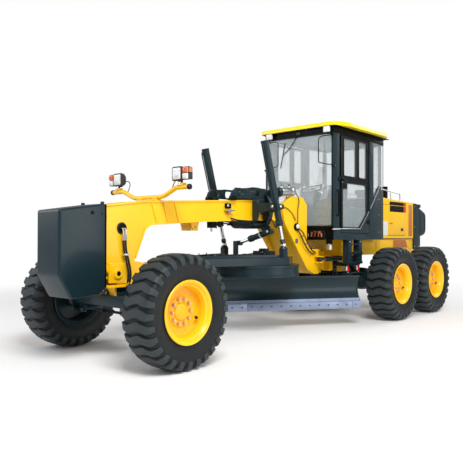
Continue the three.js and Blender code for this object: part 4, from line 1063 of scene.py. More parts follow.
def makeFrontAxle():
    dress("front_axle", "dark", 0.010)
    for word, side in sides:
        dress(f"knuckle_{word}", "dark", 0.006)
        caps = Shape()
        for z, way in ((axleZ + 0.150, 1), (axleZ - 0.150, -1)):
            caps.lathe([(0, 0), (0.058, 0), (0.058, way * 0.012), (0.046, way * 0.018), (0, way * 0.018)],
                       "dark", place(side * 0.80, 0, z), (0, 0, 1), 28)
            for n in range(4):
                turn = math.pi / 4 + n * math.pi / 2
                caps.bolt(place(side * 0.80 + 0.040 * math.cos(turn), 0.040 * math.sin(turn),
                                z + way * 0.016), (0, 0, way), 0.007, 0.006, "steel", washer=False)
        caps.bolt(place(side * 0.74, 0.25, axleZ - 0.150 + 0.042), (0, 0, 1), 0.016, 0.016, "steel")
        # hub drum behind the wheel disc
        caps.lathe([(0.074, 0.0), (0.110, 0.012), (0.118, 0.020), (0.118, 0.075), (0.100, 0.085),
                    (0.074, 0.085)], "dark", place(side * 0.935, 0, axleZ), (side, 0, 0), 36)
        caps.tube([place(side * 0.86, -0.075, axleZ + 0.05), place(side * 0.84, -0.10, axleZ + 0.10),
                   place(side * 0.80, -0.10, axleZ + 0.16), place(side * 0.78, -0.05, axleZ + 0.185)], 0.007,
                   "hose", 8)
        caps.ride(f"kingpinCaps.{word}", f"knuckle_{word}", "dark_paint")
    low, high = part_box("tie_rod")
    rodZ, rodBack = (low.z + high.z) / 2, (low.y + high.y) / 2 - frontAxleY
    tie = Shape()
    tie.rod(place(-0.60, rodBack, rodZ), place(0.60, rodBack, rodZ), 0.019, "cast", 20)
    for side in (-1, 1):
        tie.rod(place(side * 0.57, rodBack, rodZ), place(side * 0.67, rodBack, rodZ), 0.025, "cast", 6, 0.003)
        tie.rod(place(side * 0.66, rodBack, rodZ), place(side * 0.725, rodBack, rodZ), 0.015, "steel", 16)
        tie.lathe([(0, low.z), (0.018, low.z), (0.025, low.z + 0.006), (0.026, high.z - 0.008),
                   (0.020, high.z), (0, high.z)], "cast", place(side * 0.74, rodBack, 0), (0, 0, 1), 24)
    tie.ride("tieRod", "tie_rod", "steel", "tie_rod")
    axle = Shape()
    for back in (-0.175, 0.175):  # the oscillation pin through the axle plates
        axle.lathe([(0, -0.012), (0.070, -0.012), (0.075, -0.006), (0.075, 0.006), (0.070, 0.012),
                    (0, 0.012)], "dark", place(0, back + math.copysign(0.035, back), 0.800), (0, 1, 0), 32)
        for n in range(4):
            turn = n * math.pi / 2 + 0.4
            axle.bolt(place(0.05 * math.cos(turn), back + math.copysign(0.047, back),
                            0.800 + 0.05 * math.sin(turn)),
                      (0, back, 0), 0.010, 0.009, "steel", washer=False)
    # steering and brake hoses down the column and along the axle
    for side in (-1, 1):
        axle.tube([place(side * 0.19, 0.02, 0.93), place(side * 0.26, -0.075, 0.90),
                   place(side * 0.40, -0.072, 0.80),
                   place(side * 0.58, -0.068, 0.775), place(side * 0.70, -0.066, 0.765)], 0.010, "hose", 8)
    axle.prism([(-0.265, 0.665), (-0.265, 0.790), (-0.238, 0.800), (-0.225, 0.800), (-0.225, 0.655),
                (-0.250, 0.655)], "x", -0.56,
               0.56, "dark", 0.005)
    for side in (-1, 1):
        axle.prism([(-0.226, 0.700), (0.226, 0.700), (0.226, 0.842), (-0.226, 0.842)], "x",
                   *span(side, 0.2505, 0.2600), "dark", 0.003)
        axle.prism([(-0.240, 0.700), (-0.225, 0.700), (-0.225, 0.790), (-0.240, 0.790)], "x",
                   *span(side, 0.26, 0.58),
                   "dark", 0.003)
    axle.ride("axlePins", "front_body", "steel")
    print("front axle made")


def makeDrawbar():
    dress("drawbar", "dark", 0.006)
    dress("circle", "dark", 0.004)
    dress("blade_bracket", "dark", 0.005)
    shape = Shape()
    top = 1.200
    for side in (-1, 1):
        # welded ribs and bolted clamp plates over the circle
        for b0, x0, b1, x1 in ((1.50, 0.075, 1.72, 0.27), (1.80, 0.15, 2.02, 0.41)):
            shape.loft([[place(side * (x + dx), b, z)
                         for dx, z in ((-0.007, top - 0.002), (0.007, top - 0.002), (0.007, top + h),
                                       (-0.007, top + h))] for b, x, h in ((b0, x0, 0.02), (b1, x1, 0.075))],
                       "dark", bevel=0.002)
        shape.loft([[place(side * x, b, z) for x, z in ((x0, top - 0.001), (x0 + 0.018, top - 0.001),
                                                        (x0 + 0.018, top + 0.045), (x0, top + 0.045))]
                    for b, x0 in ((1.32, 0.105), (2.14, 0.465), (2.50, 0.575), (2.56, 0.60))], "dark",
                   bevel=0.003)
        for b, x in ((2.25, 0.40), (2.95, 0.40), (3.12, 0.30)):
            shape.prism(rounded([(x - 0.055, b - 0.045), (x + 0.055, b - 0.045), (x + 0.055, b + 0.045),
                                 (x - 0.055, b + 0.045)],
                                0.012), "z", top - 0.001, top + 0.020, "dark", 0.003,
                        matrix=None if side > 0 else Matrix.Scale(-1, 4, (1, 0, 0)))
            for dx in (-0.03, 0.03):
                shape.bolt(place(side * (x + dx), b, top + 0.020), (0, 0, 1), 0.014, 0.014, "steel")
        # the ball stud's cup under each lift cylinder
        fx, fb, fz = gearValues["liftFoot"]
        shape.lathe([(0.020, -0.060), (0.058, -0.060), (0.062, -0.050), (0.055, -0.030), (0.0475, -0.016),
                     (0.044, -0.020),
                     (0.030, -0.046)], "dark", place(side * fx, fb, fz - 0.002), (0, 0, 1), 32)
        for n in range(4):
            turn = math.pi / 4 + n * math.pi / 2
            shape.bolt(place(side * fx + 0.036 * math.cos(turn), fb + 0.036 * math.sin(turn), fz - 0.050),
                       (0, 0, 1),
                       0.007, 0.006, "steel", washer=False)
    # circle drive: gearbox with a hydraulic motor and hoses
    shape.lathe([(0, 0.0), (0.150, 0.0), (0.150, 0.040), (0.130, 0.050), (0.130, 0.070), (0.100, 0.080),
                 (0.085, 0.080), (0.085, 0.125), (0.070, 0.132), (0, 0.132)], "dark",
                place(0, 2.975, top - 0.002), (0, 0, 1), 40)
    for n in range(8):
        turn = n * math.pi / 4
        shape.bolt(place(0.138 * math.cos(turn), 2.975 + 0.138 * math.sin(turn), top + 0.038), (0, 0, 1),
                   0.010, 0.010, "steel")
    for n, dx in enumerate((-0.05, 0.05)):
        shape.rod(place(dx, 2.90, top + 0.055), place(dx, 2.865, top + 0.060), 0.018, "steel", 6, 0.002)
        shape.tube([place(dx, 2.872, top + 0.059), place(dx * 1.4, 2.80, top + 0.050),
                    place(dx * 2.4, 2.62, top + 0.030),
                    place(dx * 3.4, 2.34, top + 0.030), place(dx * 2.8, 2.05, top + 0.024),
                    place(dx * 1.5, 1.70, top + 0.022), place(dx * 0.9, 1.45, top + 0.022),
                    place(dx * 0.7, 1.20, top + 0.010)], 0.012, "hose", 8)
    # nose: gussets and grease fittings
    for side in (-1, 1):
        shape.prism([(0.66, 1.085), (1.28, 1.088), (1.28, 1.185), (0.66, 1.165)], "x",
                    *span(side, 0.055, 0.075), "dark", 0.003)
    shape.bolt(place(0, 0.60, 1.182), (0, 0, 1), 0.008, 0.016, "steel")
    for side in (-1, 1):
        shape.tube([place(side * 0.090, 1.34, 1.212), place(side * 0.085, 1.10, 1.195),
                    place(side * 0.080, 0.80, 1.19),
                    place(side * 0.075, 0.64, 1.185)], 0.011, "hose", 8)
    shape.ride("drawbarTrim", "drawbar", "dark_paint")

    ball = Shape()
    low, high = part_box("drawbar_ball")
    ball.ball((low + high) / 2, (high.x - low.x) / 2, "steel", 36)
    ball.ride("drawbarBall", "drawbar_ball", "steel", "drawbar_ball")

    ring = Shape()
    # the circle's rims and its inner gear teeth
    centre = place(0, bladeValues["centre"], 0)
    ring.lathe([(0.748, 0.905), (0.762, 0.905), (0.762, 0.935), (0.748, 0.940)], "dark", centre, (0, 0, 1),
               96)
    ring.lathe([(0.748, 1.040), (0.762, 1.044), (0.762, 1.0835), (0.748, 1.0845)], "dark", centre, (0, 0, 1),
               96)
    teeth = 64
    for n in range(teeth):
        turn = 2 * math.pi * n / teeth
        c, s = math.cos(turn), math.sin(turn)

        def tooth(r, w, z):
            return centre + Vector((r * c - w * s, r * s + w * c, z))
        ring.loft([[tooth(0.566, 0.020, z), tooth(0.530, 0.008, z), tooth(0.530, -0.008, z),
                    tooth(0.566, -0.020, z)]
                   for z in (0.930, 1.060)], "cast", bevel=0.0)
    ring.ride("circleTeeth", "circle", "steel")

    bracket = Shape()
    for u in (-0.62, 0.62):
        bracket.bolt(inCircle(u * 0.97, 0.429, 0.64), inCircle(u * 2, 0, 0) - inCircle(0, 0, 0), 0.035, 0.024,
                     "steel")
    for u in (-0.45, -0.15, 0.15, 0.45):
        for z in (0.518, 0.758):
            bracket.bolt(inCircle(u, 0.33, z), inCircle(0, 1, 0) - inCircle(0, 0, 0), 0.014, 0.014, "steel")
    # side-shift cylinder between the rails
    a, b = inCircle(-0.55, 0.30, 0.64), inCircle(0.30, 0.30, 0.64)
    barrelLine(bracket, a, b, 0.038, (0.05, 0.76), inCircle(0, 1, 0.5) - inCircle(0, 0, 0))
    bracket.rod(b - (b - a) * 0.02, b + (b - a).normalized() * 0.10, 0.020, "chrome", 20)
    bracket.ride("sideShiftCylinder", "blade_bracket", "dark_paint")
    print("drawbar and circle made")


def makeBlade():
    v = bladeValues
    shape = Shape()
    u0, u1 = v["offset"] - v["half"], v["offset"] + v["half"]
    count = 18
    plateFoot, edgePlace = v["bottom"] + 0.130, 0.072
    front, back = [], []
    for i in range(count + 1):
        share = i / count
        z = plateFoot + share * (v["top"] - 0.016 - plateFoot)
        bow = edgePlace + 0.037 + 0.095 * math.sin(share * math.pi * 0.95) + share * 0.020
        front.append((bow, z))
        back.append((bow + 0.026, z))
    outline = [(edgePlace + 0.020, v["bottom"] + 0.055), *front, *reversed(back),
               (edgePlace + 0.046, v["bottom"] + 0.055)]
    shape.loft([[inCircle(u, a, z) for a, z in outline] for u in (u0, u1)], "dark", bevel=0.002)
    # a bar along the top edge
    tip = front[-1][0]
    top = rounded([(tip - 0.012, v["top"] - 0.030), (tip + 0.042, v["top"] - 0.030), (tip + 0.042, v["top"]),
                   (tip - 0.012, v["top"])], 0.005, 2)
    shape.loft([[inCircle(u, a, z) for a, z in top] for u in (u0, u1)], "dark")
    # two cutting edges in line, and an end bit at each end
    wear = [(edgePlace, v["bottom"]), (edgePlace + 0.014, v["bottom"] + 0.002),
            (edgePlace + 0.031, v["bottom"] + 0.100),
            (edgePlace + 0.033, v["bottom"] + 0.128), (edgePlace + 0.016, v["bottom"] + 0.128)]
    for start, end in ((u0 + 0.16, v["offset"] - 0.002), (v["offset"] + 0.002, u1 - 0.16)):
        shape.loft([[inCircle(u, a, z) for a, z in wear] for u in (start, end)], "edge", bevel=0.002)
    for start, end in ((u0 - 0.006, u0 + 0.157), (u1 - 0.157, u1 + 0.006)):
        shape.loft([[inCircle(u, a - 0.002, z) for a, z in wear] for u in (start, end)], "edge", bevel=0.002)
    # worn bright strip of the board just above the edges
    worn = [(edgePlace + 0.012, v["bottom"] + 0.120), (front[0][0] - 0.002, plateFoot),
            (front[1][0] - 0.002, front[1][1] + 0.022),
            (front[1][0] + 0.006, front[1][1] + 0.022), (front[0][0] + 0.010, plateFoot),
            (edgePlace + 0.024, v["bottom"] + 0.120)]
    shape.loft([[inCircle(u, a, z) for a, z in worn] for u in (u0, u1)], "edge")
    outward = inCircle(0, -1, 0) - inCircle(0, 0, 0)
    for n in range(v["bolts"]):
        u = u0 + 0.10 + (u1 - u0 - 0.20) * n / (v["bolts"] - 1)
        at = inCircle(u, edgePlace + 0.0075, v["bottom"] + 0.070)
        shape.lathe([(0, -0.004), (0.014, -0.004), (0.014, 0.003), (0.010, 0.005), (0.006, 0.002),
                     (0, 0.002)], "cast", at, outward, 12)
        rear = inCircle(u, edgePlace + 0.044, v["bottom"] + 0.118)
        shape.bolt(rear, -outward, 0.014, 0.014, "steel")
    # rails, ribs and end plates behind the board
    railBack = 0.429 - 0.160
    for z, deep in ((0.490, 0.060), (0.730, 0.030)):
        rail = rectangle(railBack - deep, railBack - 0.0004, z + 0.005, z + 0.050)
        shape.loft([[inCircle(u, a, h) for a, h in rail] for u in (v["offset"] - 1.25, v["offset"] + 1.25)],
                   "cast", bevel=0.004)
    for n in range(9):
        u = v["offset"] - 1.25 + 2.5 * n / 8
        rib = [(edgePlace + 0.12, 0.480), (railBack - 0.020, 0.500), (railBack - 0.020, 0.775),
               (edgePlace + 0.180, 0.810),
               (edgePlace + 0.155, 0.650)]
        shape.loft([[inCircle(u + du, a, z) for a, z in rib] for du in (-0.008, 0.008)], "dark", bevel=0.002)
    for u in (u0, u1 - 0.016):
        plate = [(edgePlace + 0.036, 0.440), (edgePlace + 0.20, 0.470), (edgePlace + 0.21, 0.800),
                 (edgePlace + 0.16, 0.840),
                 (edgePlace + 0.135, 0.640), (edgePlace + 0.100, 0.520)]
        shape.loft([[inCircle(u + du, a, z) for a, z in plate] for du in (0.0, 0.016)], "dark", bevel=0.002)
    shape.ride("blade.board", "blade", "dark_paint", "blade")
    print("blade made")


makeFrontAxle()
makeDrawbar()
makeBlade()


cabValues = {
    "front": 3.955, "side": 0.74, "bottom": 1.475, "sill": 1.70, "header": 3.315, "top": 3.430,
    "doorFront": 4.185, "doorBack": 5.190, "doorBottom": 1.600, "doorTop": 3.300, "middle": 2.540,
    "rearPost": (5.205, 5.376), "back": 5.870, "cheekBack": 5.620,
}


def sidePrism(shape, outline, side, x0, x1, finish, bevel=0.004):
    low, high = sorted((side * x0, side * x1))
    shape.prism(outline, "x", low, high, finish, bevel)


def makeCabBase():
    v = cabValues
    shape = Shape()
    for side in (-1, 1):
        # side panel: sill, the tall cheek behind the door and the corner below the front post
        panel = [(v["front"], v["bottom"]), (v["cheekBack"], v["bottom"]), (v["cheekBack"], 2.448),
                 (5.600, 2.468), (5.570, 2.462), (5.207, 2.042), (5.207, 1.590), (4.172, 1.590),
                 (4.172, 1.698), (v["front"], 1.698)]
        sidePrism(shape, panel, side, 0.682, 0.740, "dark", 0.005)
        # narrow rear corner panel with air slots
        rear = [place(side * x, b, 0) for x, b in ((0.738, 5.622), (0.690, 5.868), (0.645, 5.868),
                                                   (0.690, 5.622))]
        shape.loft([[p + Vector((0, 0, z)) for p in rear] for z in (v["bottom"], 2.440)], "dark", bevel=0.004)
        for n in range(9):
            z = 1.72 + n * 0.055
            line = [place(side * (0.734 - (b - 5.622) * 0.195), b, z) for b in (5.675, 5.815)]
            shape.tube([line[0], line[1]], 0.007, "black", 8, 1)
        # seams, screws and a cover plate along the sill
        sidePrism(shape, [(4.30, 1.500), (5.05, 1.500), (5.05, 1.560), (4.30, 1.560)], side, 0.738, 0.7435,
                  "dark", 0.003)
        for b in (4.03, 4.12, 5.28, 5.40, 5.52):
            shape.bolt(place(side * 0.740, b, 1.525), (side, 0, 0), 0.007, 0.006, "dark", washer=False)
        for z in (1.62, 1.95, 2.25):
            shape.bolt(place(side * 0.740, 5.590, z), (side, 0, 0), 0.008, 0.007, "steel")
        # rubber mounts under the floor
        for b in (4.95, 5.45):
            shape.lathe([(0, 1.478), (0.075, 1.478), (0.075, 1.484), (0.060, 1.490), (0.060, 1.502),
                         (0, 1.502)], "seal", place(side * 0.43, b, 0), (0, 0, 1), 28)
    shape.block(-0.684, 0.684, v["front"] + 0.002, 5.866, v["bottom"] + 0.010, 1.558, "black", 0.004)
    shape.block(-0.738, 0.738, 3.953, 3.985, v["bottom"], 1.700, "black", 0.008, 3)
    shape.block(-0.700, 0.700, 3.930, 3.956, 1.655, 1.697, "black", 0.006)
    for x in (-0.42, 0.0, 0.42):
        shape.block(x - 0.012, x + 0.012, 3.936, 3.956, 1.49, 1.655, "black", 0.004)
    shape.prism([(-0.645, 5.845), (0.645, 5.845), (0.645, 5.868), (-0.645, 5.868)], "z", v["bottom"], 2.235,
                "dark", 0.004)
    for n in range(6):
        z = 1.80 + n * 0.055
        shape.tube([place(-0.30, 5.870, z), place(0.30, 5.870, z)], 0.008, "black", 8, 1)
    shape.ride("cab.base", "rear_body", "dark_paint", "cab_base")


def makeCabFrame():
    v = cabValues
    shape = Shape()
    for side in (-1, 1):
        # front post, rolled section with a step towards the windscreen
        post = rounded([(0.700, 3.962), (0.740, 3.955), (0.742, 4.130), (0.728, 4.170), (0.690, 4.170),
                        (0.690, 4.02)],
                       0.010, 2)
        shape.loft([[place(side * x, b, z) for x, b in post] for z in (v["sill"] + 0.002, v["header"])],
                   "dark")
        door = rounded([(0.742, v["rearPost"][0]), (0.742, v["rearPost"][1]), (0.706, v["rearPost"][1]),
                        (0.680, 5.300),
                        (0.680, v["rearPost"][0])], 0.008, 2)
        low = 2.06
        shape.loft([[place(side * x, b, z if z > 3 else (2.015 if b < 5.3 else 2.215)) for x, b in door]
                    for z in (low, v["header"])], "dark")
        corner = rounded([(0.665, 5.790), (0.665, 5.840), (0.610, 5.840), (0.610, 5.790)], 0.012, 2)
        shape.loft([[place(side * x, b, z) for x, b in corner] for z in (1.56, v["header"])], "trim")
        # header above the door, with a drip rail
        header = rounded([(0.665, v["header"]), (0.741, v["header"]), (0.741, v["top"]), (0.665, v["top"])],
                         0.006, 2)
        shape.loft([[place(side * x, b, z) for x, z in header] for b in (v["front"], 5.40)], "black")
        shape.loft([[place(side * (x - 0.048 * share), b, z) for x, z in header]
                    for b, share in ((5.40, 0), (v["back"], 1))], "black")
        shape.tube([place(side * 0.745, 3.97, 3.322), place(side * 0.746, 4.9, 3.322),
                    place(side * 0.744, 5.40, 3.322)],
                   0.006, "black", 8, 1)
        # hinges on the rear post and the striker on the front one
        for z in (1.80, 2.45, 3.12):
            shape.rod(place(side * 0.752, 5.212, z - 0.045), place(side * 0.752, 5.212, z + 0.045), 0.011,
                      "dark", 16)
            sidePrism(shape, [(5.212, z - 0.035), (5.285, z - 0.035), (5.285, z + 0.035), (5.212, z + 0.035)],
                      side, 0.740, 0.748, "dark", 0.002)
            for dz in (-0.02, 0.02):
                shape.bolt(place(side * 0.748, 5.262, z + dz), (side, 0, 0), 0.006, 0.005, "dark",
                           washer=False)
        sidePrism(shape, [(4.095, 2.485), (4.165, 2.485), (4.165, 2.565), (4.095, 2.565)], side, 0.740, 0.750,
                  "black", 0.003)
        # grab handle on the front post
        shape.tube([place(side * 0.742, 4.060, 1.90), place(side * 0.772, 4.060, 1.92),
                    place(side * 0.772, 4.060, 2.30),
                    place(side * 0.742, 4.060, 2.32)], 0.011, "black", 12, 5)
    shape.block(-0.739, 0.739, v["front"] + 0.001, v["front"] + 0.070, v["header"], v["top"], "black", 0.006)
    shape.block(-0.690, 0.690, v["back"] - 0.070, v["back"], v["header"], v["top"], "black", 0.006)
    shape.block(-0.640, 0.640, v["back"] - 0.060, v["back"], 2.236, 2.290, "dark", 0.006)
    # roof lining
    shape.block(-0.700, 0.700, v["front"] + 0.05, v["back"] - 0.06, 3.388, 3.428, "trim", 0.006)
    # black edging round the windscreen
    outer, inner = matched(rectangle(-0.712, 0.712, v["sill"] + 0.003, v["header"] + 0.006),
                           rectangle(-0.700, 0.700, v["sill"] + 0.022, v["header"] - 0.012, 0.030, 5))
    shape.frame(outer, inner, "y", 3.946, 3.972, "seal", 0.0)
    outer, inner = matched(rectangle(-0.640, 0.640, 2.250, 3.330),
                           rectangle(-0.612, 0.612, 2.280, 3.302, 0.040, 5))
    shape.frame(outer, inner, "y", 5.852, 5.872, "seal", 0.0)
    # work-light brackets, header clips
    for x in (-0.32, 0.30):
        shape.block(x - 0.02, x + 0.02, 3.940, 3.957, 3.355, 3.375, "black", 0.003)
    shape.ride("cab.frame", "rear_body", "dark_paint", "cab_frame")

    screen = Shape()
    screen.prism(rectangle(-0.706, 0.706, v["sill"] + 0.010, v["header"] - 0.002, 0.030, 5), "y", 3.956,
                 3.962, "glass", 0.0)
    screen.ride("windscreen.pane", "rear_body", "glass", "windscreen")
    rear = Shape()
    rear.prism(rectangle(-0.618, 0.618, 2.270, 3.310, 0.040, 5), "y", 5.858, 5.864, "glass", 0.0)
    rear.ride("rearWindow.pane", "rear_body", "glass", "rear_window")
    for word, side in sides:
        pane, edge = Shape(), Shape()
        line = [(5.379, 2.245), (5.585, 2.482), (5.600, 2.490), (5.866, 2.490), (5.866, 3.312),
                (5.379, 3.312)]

        def at(b, inset):
            return side * (0.738 - (b - 5.379) * 0.098 - inset)
        pane.loft([[place(at(b, inset), b, z) for b, z in line] for inset in (0.004, 0.010)], "glass")
        pane.ride(f"cornerGlass.{word}", "rear_body", "glass")
        edge.tube([place(at(b, 0.007), b, z) for b, z in ((5.866, 2.490), (5.866, 3.312))], 0.006, "seal", 8,
                  1)
        edge.tube([place(at(b, 0.007), b, z) for b, z in line[:4]], 0.006, "seal", 8, 1)
        edge.ride(f"cornerSeal.{word}", "rear_body", "black_plastic")


def makeDoors():
    v = cabValues
    for word, side in sides:
        shape = Shape()
        x0, x1 = sorted((side * 0.704, side * 0.738))
        cells = ((rectangle(v["doorFront"], 4.771, v["middle"], v["doorTop"]),
                  rectangle(4.298, 4.717, 2.600, 3.258, 0.035, 5)),
                 (rectangle(4.771, v["doorBack"], v["middle"], v["doorTop"]),
                  rectangle(4.825, 5.102, 2.600, 3.258, 0.035, 5)),
                 (rectangle(v["doorFront"], v["doorBack"], 1.672, v["middle"]),
                  rounded([(4.250, 1.694), (4.835, 1.694), (5.098, 1.940), (5.098, 2.478), (4.250, 2.478)],
                          0.040, 5)),)
        panes = Shape()
        for outerLine, innerLine in cells:
            outer, inner = matched(outerLine, innerLine)
            shape.frame(outer, inner, "x", x0, x1, "black", 0.0)
            # rubber seal that stands proud round each pane
            mid = (sum(p[0] for p in inner) / len(inner), sum(p[1] for p in inner) / len(inner))
            grown = [(mid[0] + (a - mid[0]) * 1.035, mid[1] + (b - mid[1]) * 1.02) for a, b in inner]
            less = [(mid[0] + (a - mid[0]) * 0.985, mid[1] + (b - mid[1]) * 0.99) for a, b in inner]
            shape.frame(grown, less, "x", *span(side, 0.700, 0.7425), "seal", 0.002)
            panes.prism([(mid[0] + (a - mid[0]) * 1.002, mid[1] + (b - mid[1]) * 1.002) for a, b in less],
                        "x", *span(side, 0.716, 0.722), "glass", 0.0)
        # painted skin below the pane
        sidePrism(shape, [(v["doorFront"], v["doorBottom"]), (v["doorBack"], v["doorBottom"]),
                          (v["doorBack"], 2.006), (5.122, 1.930), (4.853, 1.674), (v["doorFront"], 1.674)],
                  side, 0.702, 0.7405, "dark", 0.004)
        # pressed edge all round, latch with its outside handle and inside box
        shape.tube([place(side * 0.738, b, z)
                    for b, z in ((4.190, 1.69), (4.190, 3.292), (5.182, 3.292), (5.182, 2.03))], 0.007,
                   "black", 8, 1)
        shape.block(*span(side, 0.640, 0.704), 4.215, 4.400, 2.370, 2.520, "black", 0.018, 3)
        sidePrism(shape, rounded([(4.215, 2.370), (4.400, 2.370), (4.400, 2.520), (4.215, 2.520)], 0.02),
                  side, 0.724, 0.7405, "black", 0.003)
        sidePrism(shape, rounded([(4.200, 2.455), (4.282, 2.455), (4.282, 2.560), (4.200, 2.560)], 0.014),
                  side, 0.738, 0.752, "black", 0.004)
        shape.tube([place(side * 0.752, 4.215, 2.525), place(side * 0.778, 4.222, 2.522),
                    place(side * 0.780, 4.300, 2.514),
                    place(side * 0.774, 4.372, 2.508)], 0.010, "black", 12, 5)
        shape.rod(place(side * 0.750, 4.222, 2.480), place(side * 0.757, 4.222, 2.480), 0.013, "steel", 18)
        # grab rail inside and the bright strip along the bottom of the pane
        shape.tube([place(side * 0.704, 4.80, 2.56), place(side * 0.668, 4.82, 2.56),
                    place(side * 0.668, 5.10, 2.56),
                    place(side * 0.704, 5.12, 2.56)], 0.009, "black", 10, 5)
        shape.tube([place(side * 0.744, b, z)
                    for b, z in ((4.200, 1.668), (4.855, 1.672), (5.128, 1.938), (5.178, 1.998))], 0.008,
                   "steel", 10, 1)
        for z in (1.80, 2.45, 3.12):
            sidePrism(shape, [(5.105, z - 0.030), (5.186, z - 0.030), (5.186, z + 0.030), (5.105, z + 0.030)],
                      side, 0.738, 0.747, "black", 0.002)
        shape.ride(f"door.frame.{word}", f"cab_door_{word}", "dark_paint", f"cab_door_{word}")
        panes.ride(f"door.panes.{word}", f"cab_door_{word}", "glass", f"door_glass_{word}")


def makeRoof():
    low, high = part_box("cab_roof")
    shape = Shape()
    half, front, back = high.x, low.y - frontAxleY, high.y - frontAxleY

    def outline(inset, z):
        line = [(half - 0.110 - inset * 0.6, front + inset), (half - inset, front + 0.330),
                (half - inset, back - 0.300),
                (half - 0.200 - inset * 0.6, back - inset)]
        line = rounded([*line, *[(-x, b) for x, b in reversed(line)]], 0.05, 4)
        return [place(x, b, z) for x, b in line]
    crown = high.z - 0.022
    # the shell and its ribs in lemon yellow, lighter than the body, as painted light
    shape.loft([outline(0.004, 3.4345), outline(0.0, 3.440), outline(0.0, 3.492), outline(0.006, 3.502),
                outline(0.10, 3.517),
                outline(0.22, crown)], "roofLitYellow")
    for x in (-0.42, 0.0, 0.42):
        shape.loft([[place(x + dx, b, z) for dx, z in ((-0.055, crown - 0.004), (0.055, crown - 0.004),
                                                       (0.040, crown + 0.012),
                    (-0.040, crown + 0.012))] for b in (4.22, 5.60)], "roofLitYellow", bevel=0.005)
    top = crown
    # aerial foot and a vent cover
    shape.lathe([(0, -0.004), (0.040, -0.004), (0.036, 0.010), (0.012, 0.016), (0.008, 0.024), (0, 0.024)],
                "plastic",
                place(-0.55, 5.52, top - 0.002), (0, 0, 1), 24)
    shape.ride("roof.shell", "rear_body", "yellow_paint", "cab_roof")
    dark = Shape()
    dark.block(-0.80, 0.80, 3.92, 5.90, 3.4265, 3.4335, "black", 0.002)
    for side, place0 in ((-1, -0.600), (1, 0.640)):
        dark.block(place0 - 0.070, place0 + 0.070, 3.895, 3.960, 3.405, 3.4325, "black", 0.004)
    dark.ride("roofLining", "rear_body", "black_plastic")
    for word, x in (("left", 0.640), ("right", -0.600)):
        lamp = Shape()
        rings = []
        for depth, grow, radius in ((3.868, 0.000, 0.010), (3.873, 0.004, 0.012), (3.905, 0.002, 0.012),
                                    (3.935, -0.012, 0.012), (3.941, -0.022, 0.010)):
            rings.append([place(x + a, depth, 3.372 + b) for a, b in
                          rectangle(-0.056 - grow, 0.056 + grow, -0.046 - grow, 0.046 + grow, radius, 4)])
        lamp.loft(rings, "white")
        lens = [[place(x + a, depth, 3.372 + b) for a, b in
                 rectangle(-0.056 + inset, 0.056 - inset, -0.046 + inset, 0.046 - inset, 0.008, 4)]
                for depth, inset in ((3.869, 0.008), (3.864, 0.008), (3.860, 0.018))]
        lamp.loft(lens, "lamp")
        lamp.ride(f"roofLamp.{word}", "rear_body", "black_plastic")


